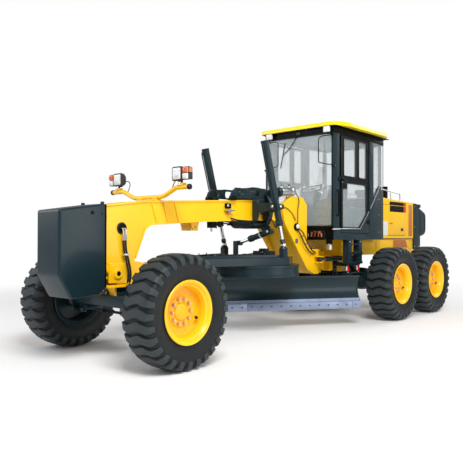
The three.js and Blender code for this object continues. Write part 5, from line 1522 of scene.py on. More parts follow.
def makeCabTrim():
    wires = Shape()
    for side in (-1, 1):
        # wire loops in front of both sides of the windscreen, clamped to the posts
        reach, lower = (0.0, 0.0) if side > 0 else (0.12, 0.012)
        line = [(0.706, 3.953, 3.285), (0.690, 3.880, 3.262), (0.568 - reach, 3.862, 3.256),
                (0.500 - reach, 3.860, 3.212),
                (0.497 - reach, 3.860, 3.020 - lower), (0.497 - reach, 3.860, 2.830 + lower),
                (0.530 - reach, 3.860, 2.806),
                (0.648, 3.866, 2.770), (0.720, 3.900, 2.762), (0.744, 3.985, 2.750)]
        wires.tube([place(side * x, b, z) for x, b, z in line], 0.0080, "black", 10, 7)
        wires.block(*span(side, 0.685, 0.728), 3.925, 3.957, 3.262, 3.305, "black", 0.006)
        wires.block(*span(side, 0.738, 0.754), 3.965, 4.010, 2.725, 2.775, "black", 0.005)
        wires.bolt(place(side * 0.754, 3.988, 2.750), (side, 0, 0), 0.008, 0.007, "steel")
    # wiper: motor cover, arm and blade
    wires.block(-0.020, 0.050, 3.925, 3.957, 3.345, 3.395, "plastic", 0.010, 3)
    wires.tube([place(0.015, 3.932, 3.370), place(-0.060, 3.936, 3.262), place(-0.175, 3.940, 3.130),
                place(-0.335, 3.944, 3.005)], 0.007, "black", 8, 4)
    wires.tube([place(-0.285, 3.948, 3.235), place(-0.330, 3.946, 3.010), place(-0.385, 3.948, 2.790)], 0.008,
               "seal", 8, 4)
    # bright rail that follows the cheek and runs back over the hood
    for side in (-1, 1):
        wires.tube([place(side * 0.748, b, z) for b, z in ((3.905, 1.655), (4.166, 1.660))], 0.011, "steel",
                   10, 1)
        rail = [(0.750, 5.222, 2.052), (0.752, 5.40, 2.262), (0.752, 5.575, 2.470), (0.742, 5.615, 2.504),
                (0.715, 5.70, 2.510),
                (0.600, 5.93, 2.507), (0.500, 6.10, 2.504), (0.482, 6.25, 2.496), (0.480, 6.70, 2.466),
                (0.480, 6.985, 2.449),
                (0.480, 7.030, 2.435), (0.480, 7.040, 2.375), (0.480, 7.040, 2.300)]
        wires.tube([place(side * x, b, z) for x, b, z in rail], 0.0125, "steel", 12, 6)
        for b in (6.60,):
            wires.rod(place(side * 0.482, b, 2.310), place(side * 0.482, b, 2.490), 0.010, "steel", 12)
            wires.lathe([(0, 0), (0.026, 0), (0.026, 0.004), (0.012, 0.008), (0, 0.008)], "steel",
                        place(side * 0.482, b, 2.332 - (b - 6.1) * 0.03), (0, 0, 1), 18)
        for b, z in ((5.245, 2.080), (5.560, 2.452)):
            wires.rod(place(side * 0.738, b, z), place(side * 0.752, b, z), 0.008, "steel", 12)
    wires.ride("cabWires", "rear_body", "steel")

    nose = Shape()
    # valve block, fittings and hoses under the cab's front edge, behind the sweep of the gooseneck
    nose.block(0.16, 0.60, 3.942, 3.962, 1.470, 1.500, "dark", 0.006)
    nose.block(0.18, 0.545, 3.938, 3.970, 1.480, 1.528, "black", 0.008)
    spread0 = [0.22, 0.29, 0.36, 0.43, 0.50]
    for n, x in enumerate(spread0):
        z = 1.515 + 0.024 * (n % 2)
        nose.rod(place(x, 3.953, 1.520), place(x, 3.953, z + 0.044), 0.016, "copper", 6, 0.003)
        nose.rod(place(x, 3.953, z + 0.044), place(x, 3.953, z + 0.070), 0.012, "steel", 14)
        top = place(x, 3.953, z + 0.068)
        nose.tube([top, top + Vector((0.01, 0, 0.034)), top + Vector((0.035, 0, 0.050)),
                   place(x + 0.06, 3.953, 1.60),
                   place(x + 0.065, 3.953, 1.56), place(x + 0.045, 3.956, 1.51)], 0.010, "hose", 8)
    for n in range(3):
        nose.tube([place(0.28 + 0.08 * n, 3.953, 1.545 + 0.02 * n), place(0.34 + 0.06 * n, 3.950, 1.615),
                   place(0.42 + 0.03 * n, 3.950, 1.610), place(0.50, 3.952, 1.56 - 0.015 * n),
                   place(0.51, 3.955, 1.51)],
                  0.011, "copper", 8)
    nose.lathe([(0, 0), (0.042, 0), (0.048, 0.006), (0.048, 0.080), (0.040, 0.090), (0.022, 0.094),
                (0.022, 0.110), (0, 0.110)], "steel", place(0.672, 3.925, 1.300), (0, 0, 1), 28)
    nose.block(0.62, 0.72, 3.905, 3.96, 1.400, 1.478, "black", 0.006)
    nose.ride("noseFittings", "rear_body", "black_plastic")


def makeInterior():
    shape = Shape()
    # steering column, wheel with three spokes, side consoles with levers, pedals
    hub = place(0.02, 4.405, 2.415)
    axis = Vector((0, -0.35, 0.94)).normalized()
    column = rounded([(-0.075, 4.215), (0.075, 4.215), (0.075, 4.335), (-0.075, 4.335)], 0.02)
    shape.loft([[place(x * grow, b + lean, z) for x, b in column]
                for z, grow, lean in ((1.562, 1.15, 0.0), (1.75, 0.80, 0.02), (2.18, 0.70, 0.09),
                                      (2.30, 1.35, 0.13),
                                      (2.37, 1.25, 0.145))], "plastic")
    shape.block(-0.150, 0.190, 4.330, 4.420, 2.255, 2.345, "plastic", 0.020, 3)
    ring = []
    across = Vector((1, 0, 0))
    other = axis.cross(across)
    for i in range(40):
        turn = 2 * math.pi * i / 40
        ring.append(hub + across * (0.215 * math.cos(turn)) + other * (0.215 * math.sin(turn)))
    shape.tube([*ring, ring[0]], 0.0135, "plastic", 12, 1, closed=True)
    shape.lathe([(0, -0.075), (0.032, -0.075), (0.040, -0.020), (0.048, -0.012), (0.048, 0.006),
                 (0.036, 0.016), (0, 0.018)], "plastic", hub, axis, 28)
    for i in range(3):
        turn = math.pi / 2 + i * 2 * math.pi / 3
        out = across * math.cos(turn) + other * math.sin(turn)
        shape.tube([hub + out * 0.03 - axis * 0.006, hub + out * 0.12 - axis * 0.010, hub + out * 0.210],
                   0.010, "steel", 8, 4)
    for side in (-1, 1):
        # lever box beside the column
        shape.prism(rounded([(4.30, 2.06), (4.56, 2.02), (4.60, 2.11), (4.34, 2.235), (4.29, 2.20)], 0.02),
                    "x", *span(side, 0.115, 0.330), "plastic", 0.008)
        for n in range(4):
            x, b = side * (0.145 + 0.050 * n), 4.42
            foot = place(x, b, 2.16)
            tip = place(x + side * 0.012, b + 0.035, 2.42 - 0.012 * n)
            shape.rod(foot, tip, 0.0055, "steel", 10, 0.001)
            shape.lathe([(0, -0.010), (0.012, -0.006), (0.017, 0.020), (0.020, 0.055), (0.015, 0.074),
                         (0, 0.080)], "white" if n % 2 else "plastic", tip, tip - foot, 16)
        shape.block(*span(side, 0.36, 0.60), 4.86, 5.34, 1.95, 2.06, "plastic", 0.030, 3)
        shape.block(*span(side, 0.40, 0.56), 4.92, 5.28, 1.56, 1.96, "plastic", 0.012)
        for b in (4.95, 5.02, 5.09):
            shape.rod(place(side * 0.48, b, 2.058), place(side * 0.48, b - 0.01, 2.110), 0.007, "steel", 10)
            shape.ball(place(side * 0.48, b - 0.012, 2.120), 0.016, "plastic", 14)
    shape.prism(rounded([(4.005, 1.562), (4.130, 1.562), (4.115, 1.99), (4.060, 2.02), (4.005, 2.00)], 0.02),
                "x", -0.32, 0.32, "trim", 0.008)
    shape.block(0.03, 0.14, 4.000, 4.006, 1.90, 2.00, "white", 0.002)
    shape.block(-0.60, 0.60, 4.000, 4.060, 1.562, 1.720, "plastic", 0.010)
    for x in (-0.24, 0.16, 0.27):
        shape.prism(rounded([(4.19, 1.64), (4.205, 1.625), (4.30, 1.70), (4.29, 1.72)], 0.006), "x",
                    x - 0.035, x + 0.035, "seal", 0.002)
        shape.rod(place(x, 4.245, 1.66), place(x, 4.20, 1.565), 0.008, "steel", 10)
    shape.block(-0.61, 0.61, 4.06, 5.78, 1.5585, 1.566, "seal", 0.002)
    shape.ride("steeringConsole.made", "rear_body", "black_plastic", "steering_console")

    base = Shape()
    base.block(-0.20, 0.20, 4.86, 5.14, 1.566, 1.640, "plastic", 0.010)
    for n in range(5):
        z = 1.650 + n * 0.042
        base.loft([[place(x, b, z + dz) for x, b in rectangle(-0.165 - grow, 0.165 + grow, 4.855 - grow,
                                                              5.145 + grow, 0.04)]
                   for dz, grow in ((0.0, 0.0), (0.020, 0.014), (0.040, 0.0))], "seal")
    base.block(-0.220, 0.220, 4.78, 5.22, 1.855, 1.905, "plastic", 0.010)
    for side in (-1, 1):
        base.block(*span(side, 0.250, 0.315), 4.86, 5.18, 2.165, 2.205, "plastic", 0.018, 3)
        base.tube([place(side * 0.235, 5.22, 2.05), place(side * 0.275, 5.20, 2.12),
                   place(side * 0.280, 5.12, 2.175)], 0.014,
                  "plastic", 10)
        base.tube([place(side * 0.075, 5.305, 2.555), place(side * 0.075, 5.325, 2.66)], 0.008, "steel", 10,
                  1)
    base.prism(rounded([(5.205, 1.92), (5.290, 2.56), (5.335, 2.55), (5.275, 1.90)], 0.02), "x", -0.215,
               0.215, "plastic", 0.006)
    base.ride("seatBase", "rear_body", "black_plastic", "seat")
    cushion(rounded([(-0.235, 4.745), (0.235, 4.745), (0.235, 5.195), (-0.235, 5.195)], 0.07), 1.915, 2.005,
            0.0, "seatCushion", Matrix.Identity(4))
    lean = Matrix.Translation(place(0, 5.225, 2.035)) @ Matrix.Rotation(math.radians(81), 4, "X")
    cushion(rounded([(-0.220, 0.0), (0.220, 0.0), (0.205, 0.50), (-0.205, 0.50)], 0.07), -0.045, 0.035, None,
            "seatBack", lean)
    head = Matrix.Translation(place(0, 5.320, 2.635)) @ Matrix.Rotation(math.radians(83), 4, "X")
    cushion(rounded([(-0.125, 0.0), (0.125, 0.0), (0.115, 0.165), (-0.115, 0.165)], 0.05), -0.035, 0.030,
            None, "headRest", head)
    print("interior made")


def cushion(outline, low, high, flat, name, matrix):
    # a stuffed cover: remeshed, blown up a little and left with its seam
    part = bmesh.new()
    mid = Vector((sum(p[0] for p in outline), sum(p[1] for p in outline))) / len(outline)
    rings = []
    for share, grow in ((0.0, 0.90), (0.18, 0.985), (0.5, 1.0), (0.82, 0.985), (1.0, 0.90)):
        rings.append([(mid.x + (a - mid.x) * grow, mid.y + (b - mid.y) * grow, low + (high - low) * share)
                      for a, b in outline])
    rows = []
    for ring in rings:
        points = [Vector(p) for p in ring]
        if flat is not None:
            points = [place(p.x, p.y, p.z) for p in points]
        rows.append([part.verts.new(matrix @ p) for p in points])
    for a, b in zip(rows, rows[1:]):
        for j in range(len(a)):
            part.faces.new((a[j], a[(j + 1) % len(a)], b[(j + 1) % len(a)], b[j]))
    part.faces.new(rows[0][::-1])
    part.faces.new(rows[-1])
    bmesh.ops.recalc_face_normals(part, faces=part.faces[:])
    mesh = bpy.data.meshes.new(name)
    part.to_mesh(mesh)
    part.free()
    mesh.materials.append(finishes["seat"])
    pad = bpy.data.objects.new(name, mesh)
    bpy.context.scene.collection.objects.link(pad)
    bpy.context.view_layer.objects.active = pad
    pad.select_set(True)
    remesh = pad.modifiers.new("remesh", "REMESH")
    remesh.mode, remesh.voxel_size = "VOXEL", 0.009
    bpy.ops.object.modifier_apply(modifier=remesh.name)
    start = [v.co.copy() for v in pad.data.vertices]
    blow = pad.modifiers.new("cloth", "CLOTH")
    blow.settings.use_pressure = True
    blow.settings.uniform_pressure_force = 4
    blow.settings.effector_weights.gravity = 0
    for at in range(1, 16):
        bpy.context.scene.frame_set(at)
    bpy.ops.object.modifier_apply(modifier=blow.name)
    for vertex, before in zip(pad.data.vertices, start):
        step = vertex.co - before
        if step.length > 0.014:
            vertex.co = before + step.normalized() * 0.014
    bpy.context.scene.frame_set(1)
    smooth = pad.modifiers.new("smooth", "SMOOTH")
    smooth.factor, smooth.iterations = 0.5, 4
    bpy.ops.object.modifier_apply(modifier=smooth.name)
    pad.select_set(False)
    pad.data.shade_smooth()
    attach(pad, "rear_body")
    return pad


makeCabBase()
makeCabFrame()
makeDoors()
makeRoof()
makeCabTrim()
makeInterior()
print("cab made")


hoodValues = {"side": 0.500, "front": 6.010, "back": 7.655, "bottom": 1.484,
              "doorFront": 6.480, "doorBack": 7.300, "doorBottom": 1.560, "doorTop": 2.190, }


def makeHood():
    v = hoodValues
    dress("hood", "yellow", 0.012, 3)
    trim = Shape()
    for word, side in sides:
        door = Shape()
        x0, x1 = sorted((side * 0.462, side * 0.503))
        door.prism(rectangle(6.185, 7.292, v["doorBottom"] + 0.003, v["doorTop"] - 0.003, 0.012, 3), "x", x0,
                   x1, "yellow", 0.004)
        # dark plate with its red band, a plain white decal and a pressed recess
        door.prism(rectangle(6.522, 7.172, 2.052, 2.180, 0.0), "x", *span(side, 0.501, 0.5045), "black", 0.0)
        door.prism(rectangle(7.172, 7.285, 2.052, 2.180, 0.0), "x", *span(side, 0.501, 0.5045), "redStripe",
                   0.0)
        outer, inner = matched(rectangle(6.475, 6.685, 1.585, 1.840, 0.014, 3),
                               rectangle(6.487, 6.673, 1.597, 1.828, 0.010, 3))
        door.frame(outer, inner, "x", *span(side, 0.501, 0.507), "yellow", 0.001)
        door.prism(rectangle(6.52, 6.64, 1.800, 1.812), "x", *span(side, 0.502, 0.508), "black", 0.001)
        door.prism(rectangle(6.196, 6.432, 1.555, 1.850, 0.006, 2), "x", *span(side, 0.5025, 0.5042), "white",
                   0.0)
        # paddle latch, lock and hinges
        door.prism(rectangle(7.045, 7.150, 1.655, 1.712, 0.010, 3), "x", *span(side, 0.502, 0.510), "black",
                   0.003)
        door.rod(place(side * 0.505, 7.125, 1.684), place(side * 0.515, 7.125, 1.684), 0.011, "steel", 16)
        for b in (6.75, 6.95, 7.20):
            door.bolt(place(side * 0.503, b, 1.590), (side, 0, 0), 0.006, 0.005, "dark", washer=False)
        for z in (1.90, 2.10):
            door.rod(place(side * 0.5115, 6.190, z - 0.035), place(side * 0.5115, 6.190, z + 0.035), 0.0085,
                     "dark", 12)
        door.ride(f"hoodDoor.made.{word}", f"hood_door_{word}", "yellow_paint", f"hood_door_{word}")
        # the plate's part above the door, the decal in front of it
        trim.prism(rectangle(6.522, 7.172, 2.196, 2.262), "x", *span(side, 0.4995, 0.5045), "black", 0.0)
        trim.prism(rectangle(7.172, 7.285, 2.196, 2.262), "x", *span(side, 0.4995, 0.5045), "redStripe", 0.0)
        trim.prism(rectangle(6.104, 6.172, 1.555, 1.850, 0.006, 2), "x", *span(side, 0.4990, 0.5020), "white",
                   0.0)
        for b, z in ((6.10, 2.10), (6.10, 2.20), (6.14, 1.52)):
            trim.bolt(place(side * 0.500, b, z), (side, 0, 0), 0.008, 0.006, "dark", washer=False)
        # louvred strip at the back of the hood; its back plate and slats get darker orange paint as painted
        # shade
        outer, inner = matched(rectangle(7.385, 7.605, 1.530, 2.235, 0.010, 2),
                               rectangle(7.400, 7.590, 1.545, 2.220, 0.008, 2))
        trim.frame(outer, inner, "x", *span(side, 0.499, 0.508), "yellow", 0.002)
        trim.prism(rectangle(7.402, 7.588, 1.547, 2.218), "x", *span(side, 0.4985, 0.5012), "rust", 0.0)
        for n in range(22):
            z = 1.562 + n * 0.0302
            trim.loft([[place(side * x, b, z + dz)
                        for x, dz in ((0.500, 0.0), (0.5085, 0.003), (0.5085, 0.008), (0.500, 0.022))]
                       for b in (7.404, 7.586)], "rust")
        trim.prism([(6.03, 1.486), (7.65, 1.486), (7.65, 1.500), (6.03, 1.500)], "x",
                   *span(side, 0.470, 0.506), "dark", 0.002)
    # centre seam, exhaust, air intake, fuel cap and grab loops on the top
    for b in (6.46, 7.34):
        top = along([(6.01, 2.335), (7.655, 2.285)], b)
        trim.block(-0.485, 0.485, b - 0.004, b + 0.004, top - 0.004, top + 0.0025, "dark", 0.0)
    trim.lathe([(0.0, 2.290), (0.105, 2.290), (0.105, 2.310), (0.070, 2.325), (0.070, 2.350), (0.0, 2.350)],
               "black",
               place(0.20, 6.90, 0), (0, 0, 1), 32)
    trim.lathe([(0.052, 2.330), (0.060, 2.330), (0.060, 2.610), (0.052, 2.610)], "black",
               place(0.20, 6.90, 0), (0, 0, 1), 32)
    trim.lathe([(0.0, 2.300), (0.080, 2.300), (0.080, 2.430), (0.125, 2.445), (0.135, 2.500), (0.120, 2.535),
                (0.0, 2.548)],
               "plastic", place(-0.22, 6.62, 0), (0, 0, 1), 36)
    trim.lathe([(0.0, 2.285), (0.055, 2.285), (0.060, 2.300), (0.060, 2.330), (0.045, 2.342), (0.0, 2.344)],
               "steel",
               place(-0.25, 7.42, 0), (0, 0, 1), 28)
    for n in range(11):
        b = 7.02 + n * 0.026
        trim.block(-0.16, 0.08, b, b + 0.010, along([(6.01, 2.335), (7.655, 2.285)], b) - 0.004,
                   along([(6.01, 2.335), (7.655, 2.285)], b) + 0.010, "dark", 0.003)
    trim.ride("hoodTrim", "rear_body", "yellow_paint")
    dress("engine_block", "cast", 0.010)


def makeGuard():
    shape = Shape()
    # stepped shell: tall front collar, bulging grille housing, narrow foot
    collar = [(7.660, 1.255), (7.660, 2.262), (7.715, 2.275), (7.900, 2.262), (7.935, 2.215), (7.935, 1.255)]
    shape.prism(collar, "x", -0.516, 0.516, "dark", 0.016, 3)
    housing = [(7.90, 2.190), (7.975, 2.165), (8.215, 2.085), (8.275, 2.040), (8.285, 1.960), (8.285, 1.690),
               (8.255, 1.625),
               (8.215, 1.595), (8.060, 1.552), (7.90, 1.552)]
    shape.prism(housing, "x", -0.520, 0.520, "dark", 0.018, 3)
    foot = [(7.90, 1.560), (8.030, 1.560), (8.035, 1.350), (7.975, 1.256), (7.90, 1.256)]
    shape.prism(foot, "x", -0.500, 0.500, "dark", 0.014, 3)
    # bulge caps with bolts on the shoulder
    for side in (-1, 1):
        shape.rod(place(side * 0.500, 7.955, 2.222), place(side * 0.530, 7.955, 2.222), 0.040, "dark", 28,
                  0.005)
        shape.bolt(place(side * 0.530, 7.955, 2.222), (side, 0, 0), 0.014, 0.008, "steel")
        outer, inner = matched(rounded([(7.98, 1.60), (8.235, 1.65), (8.235, 2.02), (7.98, 2.10)], 0.03, 3),
                               rounded([(7.995, 1.615), (8.220, 1.662), (8.220, 2.008), (7.995, 2.085)], 0.02,
                                       3))
        shape.frame(outer, inner, "x", *span(side, 0.517, 0.5245), "dark", 0.002)
        for b, z in ((7.70, 1.32), (7.70, 1.75), (7.70, 2.20), (7.87, 1.32)):
            shape.bolt(place(side * 0.516, b, z), (side, 0, 0), 0.010, 0.008, "steel")
    # radiator grille facing back
    outer, inner = matched(rectangle(-0.445, 0.445, 1.660, 2.015, 0.03, 4),
                           rectangle(-0.415, 0.415, 1.688, 1.988, 0.02, 4))
    shape.frame(outer, inner, "y", 8.278, 8.296, "black", 0.003)
    shape.block(-0.418, 0.418, 8.280, 8.2865, 1.686, 1.990, "black", 0.0)
    for n in range(11):
        z = 1.700 + n * 0.0275
        shape.loft([[place(x, b, z + dz) for b, dz in ((8.284, 0.0), (8.2945, 0.004), (8.2945, 0.009),
                                                       (8.284, 0.019))]
                    for x in (-0.414, 0.414)], "dark")
    for x in (-0.21, 0.0, 0.21):
        shape.block(x - 0.007, x + 0.007, 8.282, 8.298, 1.686, 1.990, "dark", 0.002)
    # tail lamps, tow hitch, bumper, lower door with a handle
    for side in (-1, 1):
        shape.block(*span(side, 0.350, 0.485), 8.018, 8.050, 1.400, 1.520, "black", 0.008)
        for n, (name, z) in enumerate((("red", 1.430), ("amber", 1.490))):
            shape.lathe([(0, 0), (0.024, 0), (0.024, 0.008), (0.018, 0.014), (0, 0.016)], name,
                        place(side * 0.388, 8.048, z), (0, 1, 0), 24)
            shape.lathe([(0, 0), (0.024, 0), (0.024, 0.008), (0.018, 0.014), (0, 0.016)], ("white", "red")[n],
                        place(side * 0.448, 8.048, z), (0, 1, 0), 24)
        shape.prism([(7.94, 1.258), (8.07, 1.258), (8.10, 1.300), (8.10, 1.380), (8.03, 1.420)], "x",
                    *span(side, 0.11, 0.135), "dark", 0.005)
    shape.rod(place(-0.16, 8.072, 1.335), place(0.16, 8.072, 1.335), 0.022, "steel", 24)
    shape.prism(rectangle(-0.30, 0.30, 1.46, 1.545, 0.012, 3), "y", 8.028, 8.040, "black", 0.002)
    for n in range(9):
        shape.block(-0.26 + n * 0.065, -0.235 + n * 0.065, 8.036, 8.044, 1.475, 1.530, "dark", 0.002)
    shape.tube([place(-0.05, 8.296, 1.640), place(-0.05, 8.318, 1.640), place(0.05, 8.318, 1.640),
                place(0.05, 8.296, 1.640)],
               0.008, "steel", 8, 4)
    shape.ride("rearGuard.made", "rear_body", "dark_paint", "rear_guard")


def makeSteps():
    for word, side in sides:
        shape = Shape()
        # hung frame of two wide uprights, joined at the top and by a tread at the foot
        for b in (4.435, 4.800):
            for x in (0.640, 0.745):
                shape.block(*span(side, (x - 0.006), (x + 0.006)), b, b + 0.115, 1.060, 1.474, "dark", 0.003)
            shape.block(*span(side, 0.640, 0.745), b + 0.002, b + 0.012, 1.060, 1.470, "dark", 0.002)
        shape.block(*span(side, 0.634, 0.752), 4.435, 4.915, 1.382, 1.402, "dark", 0.004)
        for z in (1.052, 1.225):
            x0, x1 = 0.600, 0.760
            shape.block(*span(side, x0, x1), 4.430, 4.920, z, z + 0.010, "dark", 0.002)
            shape.block(*span(side, (x1 - 0.008), x1), 4.430, 4.920, z - 0.012, z + 0.034, "dark", 0.002)
            for n in range(13):
                shape.prism([(4.445 + n * 0.0365, z + 0.008), (4.459 + n * 0.0365, z + 0.008),
                             (4.456 + n * 0.0365, z + 0.020), (4.448 + n * 0.0365, z + 0.020)], "x",
                            *span(side, (x0 + 0.01), (x1 - 0.012)), "steel", 0.0)
            if z > 1.1:
                continue
        # rubber straps with reflectors and the lowest tread
        for b in (4.455, 4.820):
            shape.block(*span(side, 0.690, 0.704), b, b + 0.080, 0.882, 1.062, "hose", 0.003)
            shape.block(*span(side, 0.7035, 0.711), b + 0.004, b + 0.076, 0.905, 1.010, "red", 0.002)
            shape.block(*span(side, 0.7035, 0.711), b - 0.028, b + 0.002, 0.925, 1.000, "white", 0.002)
            for z in (1.03, 0.893):
                shape.bolt(place(side * 0.704, b + 0.040, z), (side, 0, 0), 0.008, 0.007, "steel")
        shape.block(*span(side, 0.610, 0.760), 4.435, 4.915, 0.868, 0.884, "dark", 0.004)
        for b in (4.46, 4.83):
            shape.bolt(place(side * 0.752, b + 0.02, 1.44), (side, 0, 0), 0.009, 0.008, "steel")
        shape.ride(f"steps.made.{word}", "rear_body", "dark_paint", f"steps_{word}")


def makeRearFrame():
    dress("rear_frame", "yellow", 0.008)
    dress("rear_axle", "dark", 0.010)
    shape = Shape()
    for side in (-1, 1):
        # side skirts hide the rails under the cab and the hood, with a recessed panel
        outline = [(4.650, 1.185), (4.650, 1.468), (5.640, 1.468), (7.650, 1.478), (7.650, 1.252),
                   (7.420, 1.300), (6.95, 1.262), (6.55, 1.210), (5.90, 1.185)]
        sidePrism(shape, outline, side, 0.479, 0.487, "yellow", 0.002)
        # the recessed panel gets darker orange paint as painted shade
        sidePrism(shape, rounded([(6.705, 1.462), (7.30, 1.462), (7.395, 1.300), (6.705, 1.300)], 0.014),
                  side, 0.486, 0.489, "rust", 0.0)
        for b in (4.70, 5.02, 5.36, 5.72, 6.10, 7.50):
            shape.bolt(place(side * 0.487, b, 1.440), (side, 0, 0), 0.011, 0.010, "steel")
        for b in (5.10, 5.95):
            shape.prism([(b, 1.19), (b + 0.014, 1.19), (b + 0.014, 1.462), (b, 1.462)], "x",
                        *span(side, 0.486, 0.500), "yellow", 0.002)
        # box and hydraulic tank between the rails under the cab
        shape.prism(rounded([(4.80, 0.98), (5.55, 0.98), (5.55, 1.20), (4.80, 1.20)], 0.03), "x",
                    *span(side, 0.06, 0.370), "dark", 0.010)
        # hoses along the rail to the pivot
        for n in range(3):
            shape.tube([place(side * (0.30 - 0.05 * n), 5.2, 1.235 + 0.03 * n),
                        place(side * (0.30 - 0.05 * n), 4.85, 1.225),
                        place(side * (0.28 - 0.05 * n), 4.66, 1.245 + 0.03 * n)], 0.012, "hose", 8)
    shape.ride("rearSkirts", "rear_body", "yellow_paint")
    plates = Shape()
    # bolted ends and dust covers on the pivot ears
    for z, way in ((1.300, 1), (0.880, -1)):
        plates.lathe([(0, 0), (0.085, 0), (0.092, way * 0.006), (0.086, way * 0.014), (0, way * 0.016)],
                     "dark", place(0, pivotBack, earAt(way)), (0, 0, 1), 36)
        for n in range(6):
            turn = n * math.pi / 3
            plates.bolt(place(0.065 * math.cos(turn), pivotBack + 0.065 * math.sin(turn),
                              earAt(way) + way * 0.013), (0, 0, way), 0.010, 0.009, "steel", washer=False)
    plates.ride("pivotCovers", "front_body", "dark_paint")
    axle = Shape()
    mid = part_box("rear_axle")
    middle = (mid[0].y + mid[1].y) / 2 - frontAxleY
    axle.lathe([(0.0, -0.230), (0.10, -0.228), (0.185, -0.175), (0.222, -0.09), (0.228, 0.0), (0.222, 0.09),
                (0.185, 0.175),
                (0.10, 0.228), (0.0, 0.230)], "dark", place(0, middle, axleZ), (1, 0, 0), 40)
    for n in range(14):
        turn = 2 * math.pi * n / 14
        axle.bolt(place(0, middle, axleZ) + Vector((0.02, 0.205 * math.cos(turn), 0.205 * math.sin(turn))),
                  (0, math.cos(turn), math.sin(turn)), 0.010, 0.020, "steel", washer=False)
    for side in (-1, 1):
        axle.lathe([(0.118, 0.0), (0.150, 0.0), (0.165, 0.020), (0.165, 0.045), (0.118, 0.045)], "dark",
                   place(side * 0.590, middle, axleZ), (side, 0, 0), 36)
        for n in range(12):
            turn = 2 * math.pi * n / 12
            axle.bolt(place(side * 0.592, middle + 0.145 * math.cos(turn), axleZ + 0.145 * math.sin(turn)),
                      (-side, 0, 0),
                      0.009, 0.010, "steel", washer=False)
    axle.tube([place(0.0, middle - 0.22, axleZ + 0.02), place(0.0, middle - 0.40, axleZ + 0.25),
               place(0.0, middle - 0.75, axleZ + 0.34)], 0.045, "black", 16)
    axle.ride("axleTrim", "rear_body", "dark_paint")
    for word, side in sides:
        dress(f"tandem_case_{word}", "dark", 0.016, 3)
        case = Shape()
        low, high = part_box(f"tandem_case_{word}")
        front, back = low.y - frontAxleY + 0.190, high.y - frontAxleY - 0.190
        face = side * 0.640
        cover = rounded([(front - 0.14, axleZ - 0.10), (front - 0.06, axleZ + 0.125),
                         (back + 0.06, axleZ + 0.125), (back + 0.14, axleZ - 0.10),
                         (back + 0.05, axleZ - 0.135), (front - 0.05, axleZ - 0.135)], 0.05)
        case.prism(cover, "x", *sorted((face - side * 0.012, face + side * 0.004)), "dark", 0.004)
        for n in range(15):
            b = front - 0.03 + (back - front + 0.06) * n / 14
            for z in (axleZ + 0.110, axleZ - 0.120):
                case.bolt(place(face - side * 0.012, b, z), (-side, 0, 0), 0.008, 0.008, "steel",
                          washer=False)
        for b in (front, back):
            case.lathe([(0.095, 0.0), (0.165, 0.0), (0.170, 0.010), (0.160, 0.050), (0.120, 0.062),
                        (0.095, 0.062)], "dark", place(side * 0.845, b, axleZ), (side, 0, 0), 40)
            for n in range(10):
                turn = 2 * math.pi * n / 10
                case.bolt(place(side * 0.893, b + 0.143 * math.cos(turn), axleZ + 0.143 * math.sin(turn)),
                          (side, 0, 0),
                          0.009, 0.012, "steel", washer=False)
        case.prism([(front + 0.30, axleZ + 0.160), (back - 0.30, axleZ + 0.160), (back - 0.32, axleZ + 0.178),
                    (front + 0.32, axleZ + 0.178)], "x", *span(side, 0.68, 0.80), "dark", 0.004)
        case.rod(place(side * 0.74, front + 0.40, axleZ + 0.170),
                 place(side * 0.74, front + 0.40, axleZ + 0.205), 0.022, "steel", 6, 0.003)
        case.ride(f"tandemCover.{word}", "rear_body", "dark_paint")
    print("rear frame made")


pivotBack = 4.35


def earAt(way):
    return 1.310 if way > 0 else 0.872


def makeGooseneck():
    shape = Shape()
    for side in (-1, 1):
        edge = side * goose["side"]
        # round cover with its hoses, and a blank plate below it
        shape.lathe([(0, 0.0), (0.062, 0.0), (0.066, 0.006), (0.062, 0.030), (0.050, 0.038), (0, 0.040)],
                    "black", place(edge, 3.440, 1.690), (side, 0, 0), 36)
        shape.lathe([(0, 0.036), (0.036, 0.036), (0.038, 0.048), (0.028, 0.056), (0, 0.058)], "white",
                    place(edge, 3.430, 1.700), (side, 0, 0), 28)
        shape.prism(rectangle(3.42, 3.50, 1.415, 1.495, 0.006, 2), "x",
                    *sorted((edge - side * 0.001, edge + side * 0.003)),
                    "trim", 0.0)
        shape.tube([place(edge + side * 0.02, 3.49, 1.66), place(edge + side * 0.065, 3.55, 1.60),
                    place(edge + side * 0.075, 3.66, 1.44), place(edge + side * 0.065, 3.80, 1.31),
                    place(edge + side * 0.03, 3.98, 1.25), place(edge - side * 0.05, 4.10, 1.245)], 0.011,
                   "hose", 8)
        shape.tube([place(edge + side * 0.02, 3.46, 1.645), place(edge + side * 0.055, 3.50, 1.56),
                    place(edge + side * 0.060, 3.61, 1.41), place(edge + side * 0.055, 3.76, 1.275),
                    place(edge + side * 0.02, 3.95, 1.225), place(edge - side * 0.05, 4.08, 1.22)], 0.011,
                   "hose", 8)
        shape.tube([place(edge + side * 0.035, 3.435, 1.745), place(edge + side * 0.045, 3.43, 1.84),
                    place(edge + side * 0.030, 3.455, 2.00), place(edge + side * 0.020, 3.50, 2.14),
                    place(edge - side * 0.02, 3.48, 2.25), place(side * 0.295, 3.445, 2.285)], 0.008, "hose",
                   8)
        shape.tube([place(edge + side * 0.008, 3.02, 2.02), place(edge + side * 0.018, 3.14, 2.00),
                    place(edge + side * 0.020, 3.30, 1.92), place(edge + side * 0.018, 3.40, 1.80)], 0.007,
                   "hose", 8)
        for z, b in ((1.54, 3.555), (1.40, 3.69)):
            shape.block(*sorted((edge, edge + side * 0.088)), b - 0.006, b + 0.006, z - 0.012, z + 0.012,
                        "steel", 0.003)
    shape.ride("gooseHoses", "front_body", "black_plastic")


goose = {"side": 0.3205}


makeHood()
makeGuard()
makeSteps()
makeRearFrame()
makeGooseneck()
print("hood, guard and steps made")


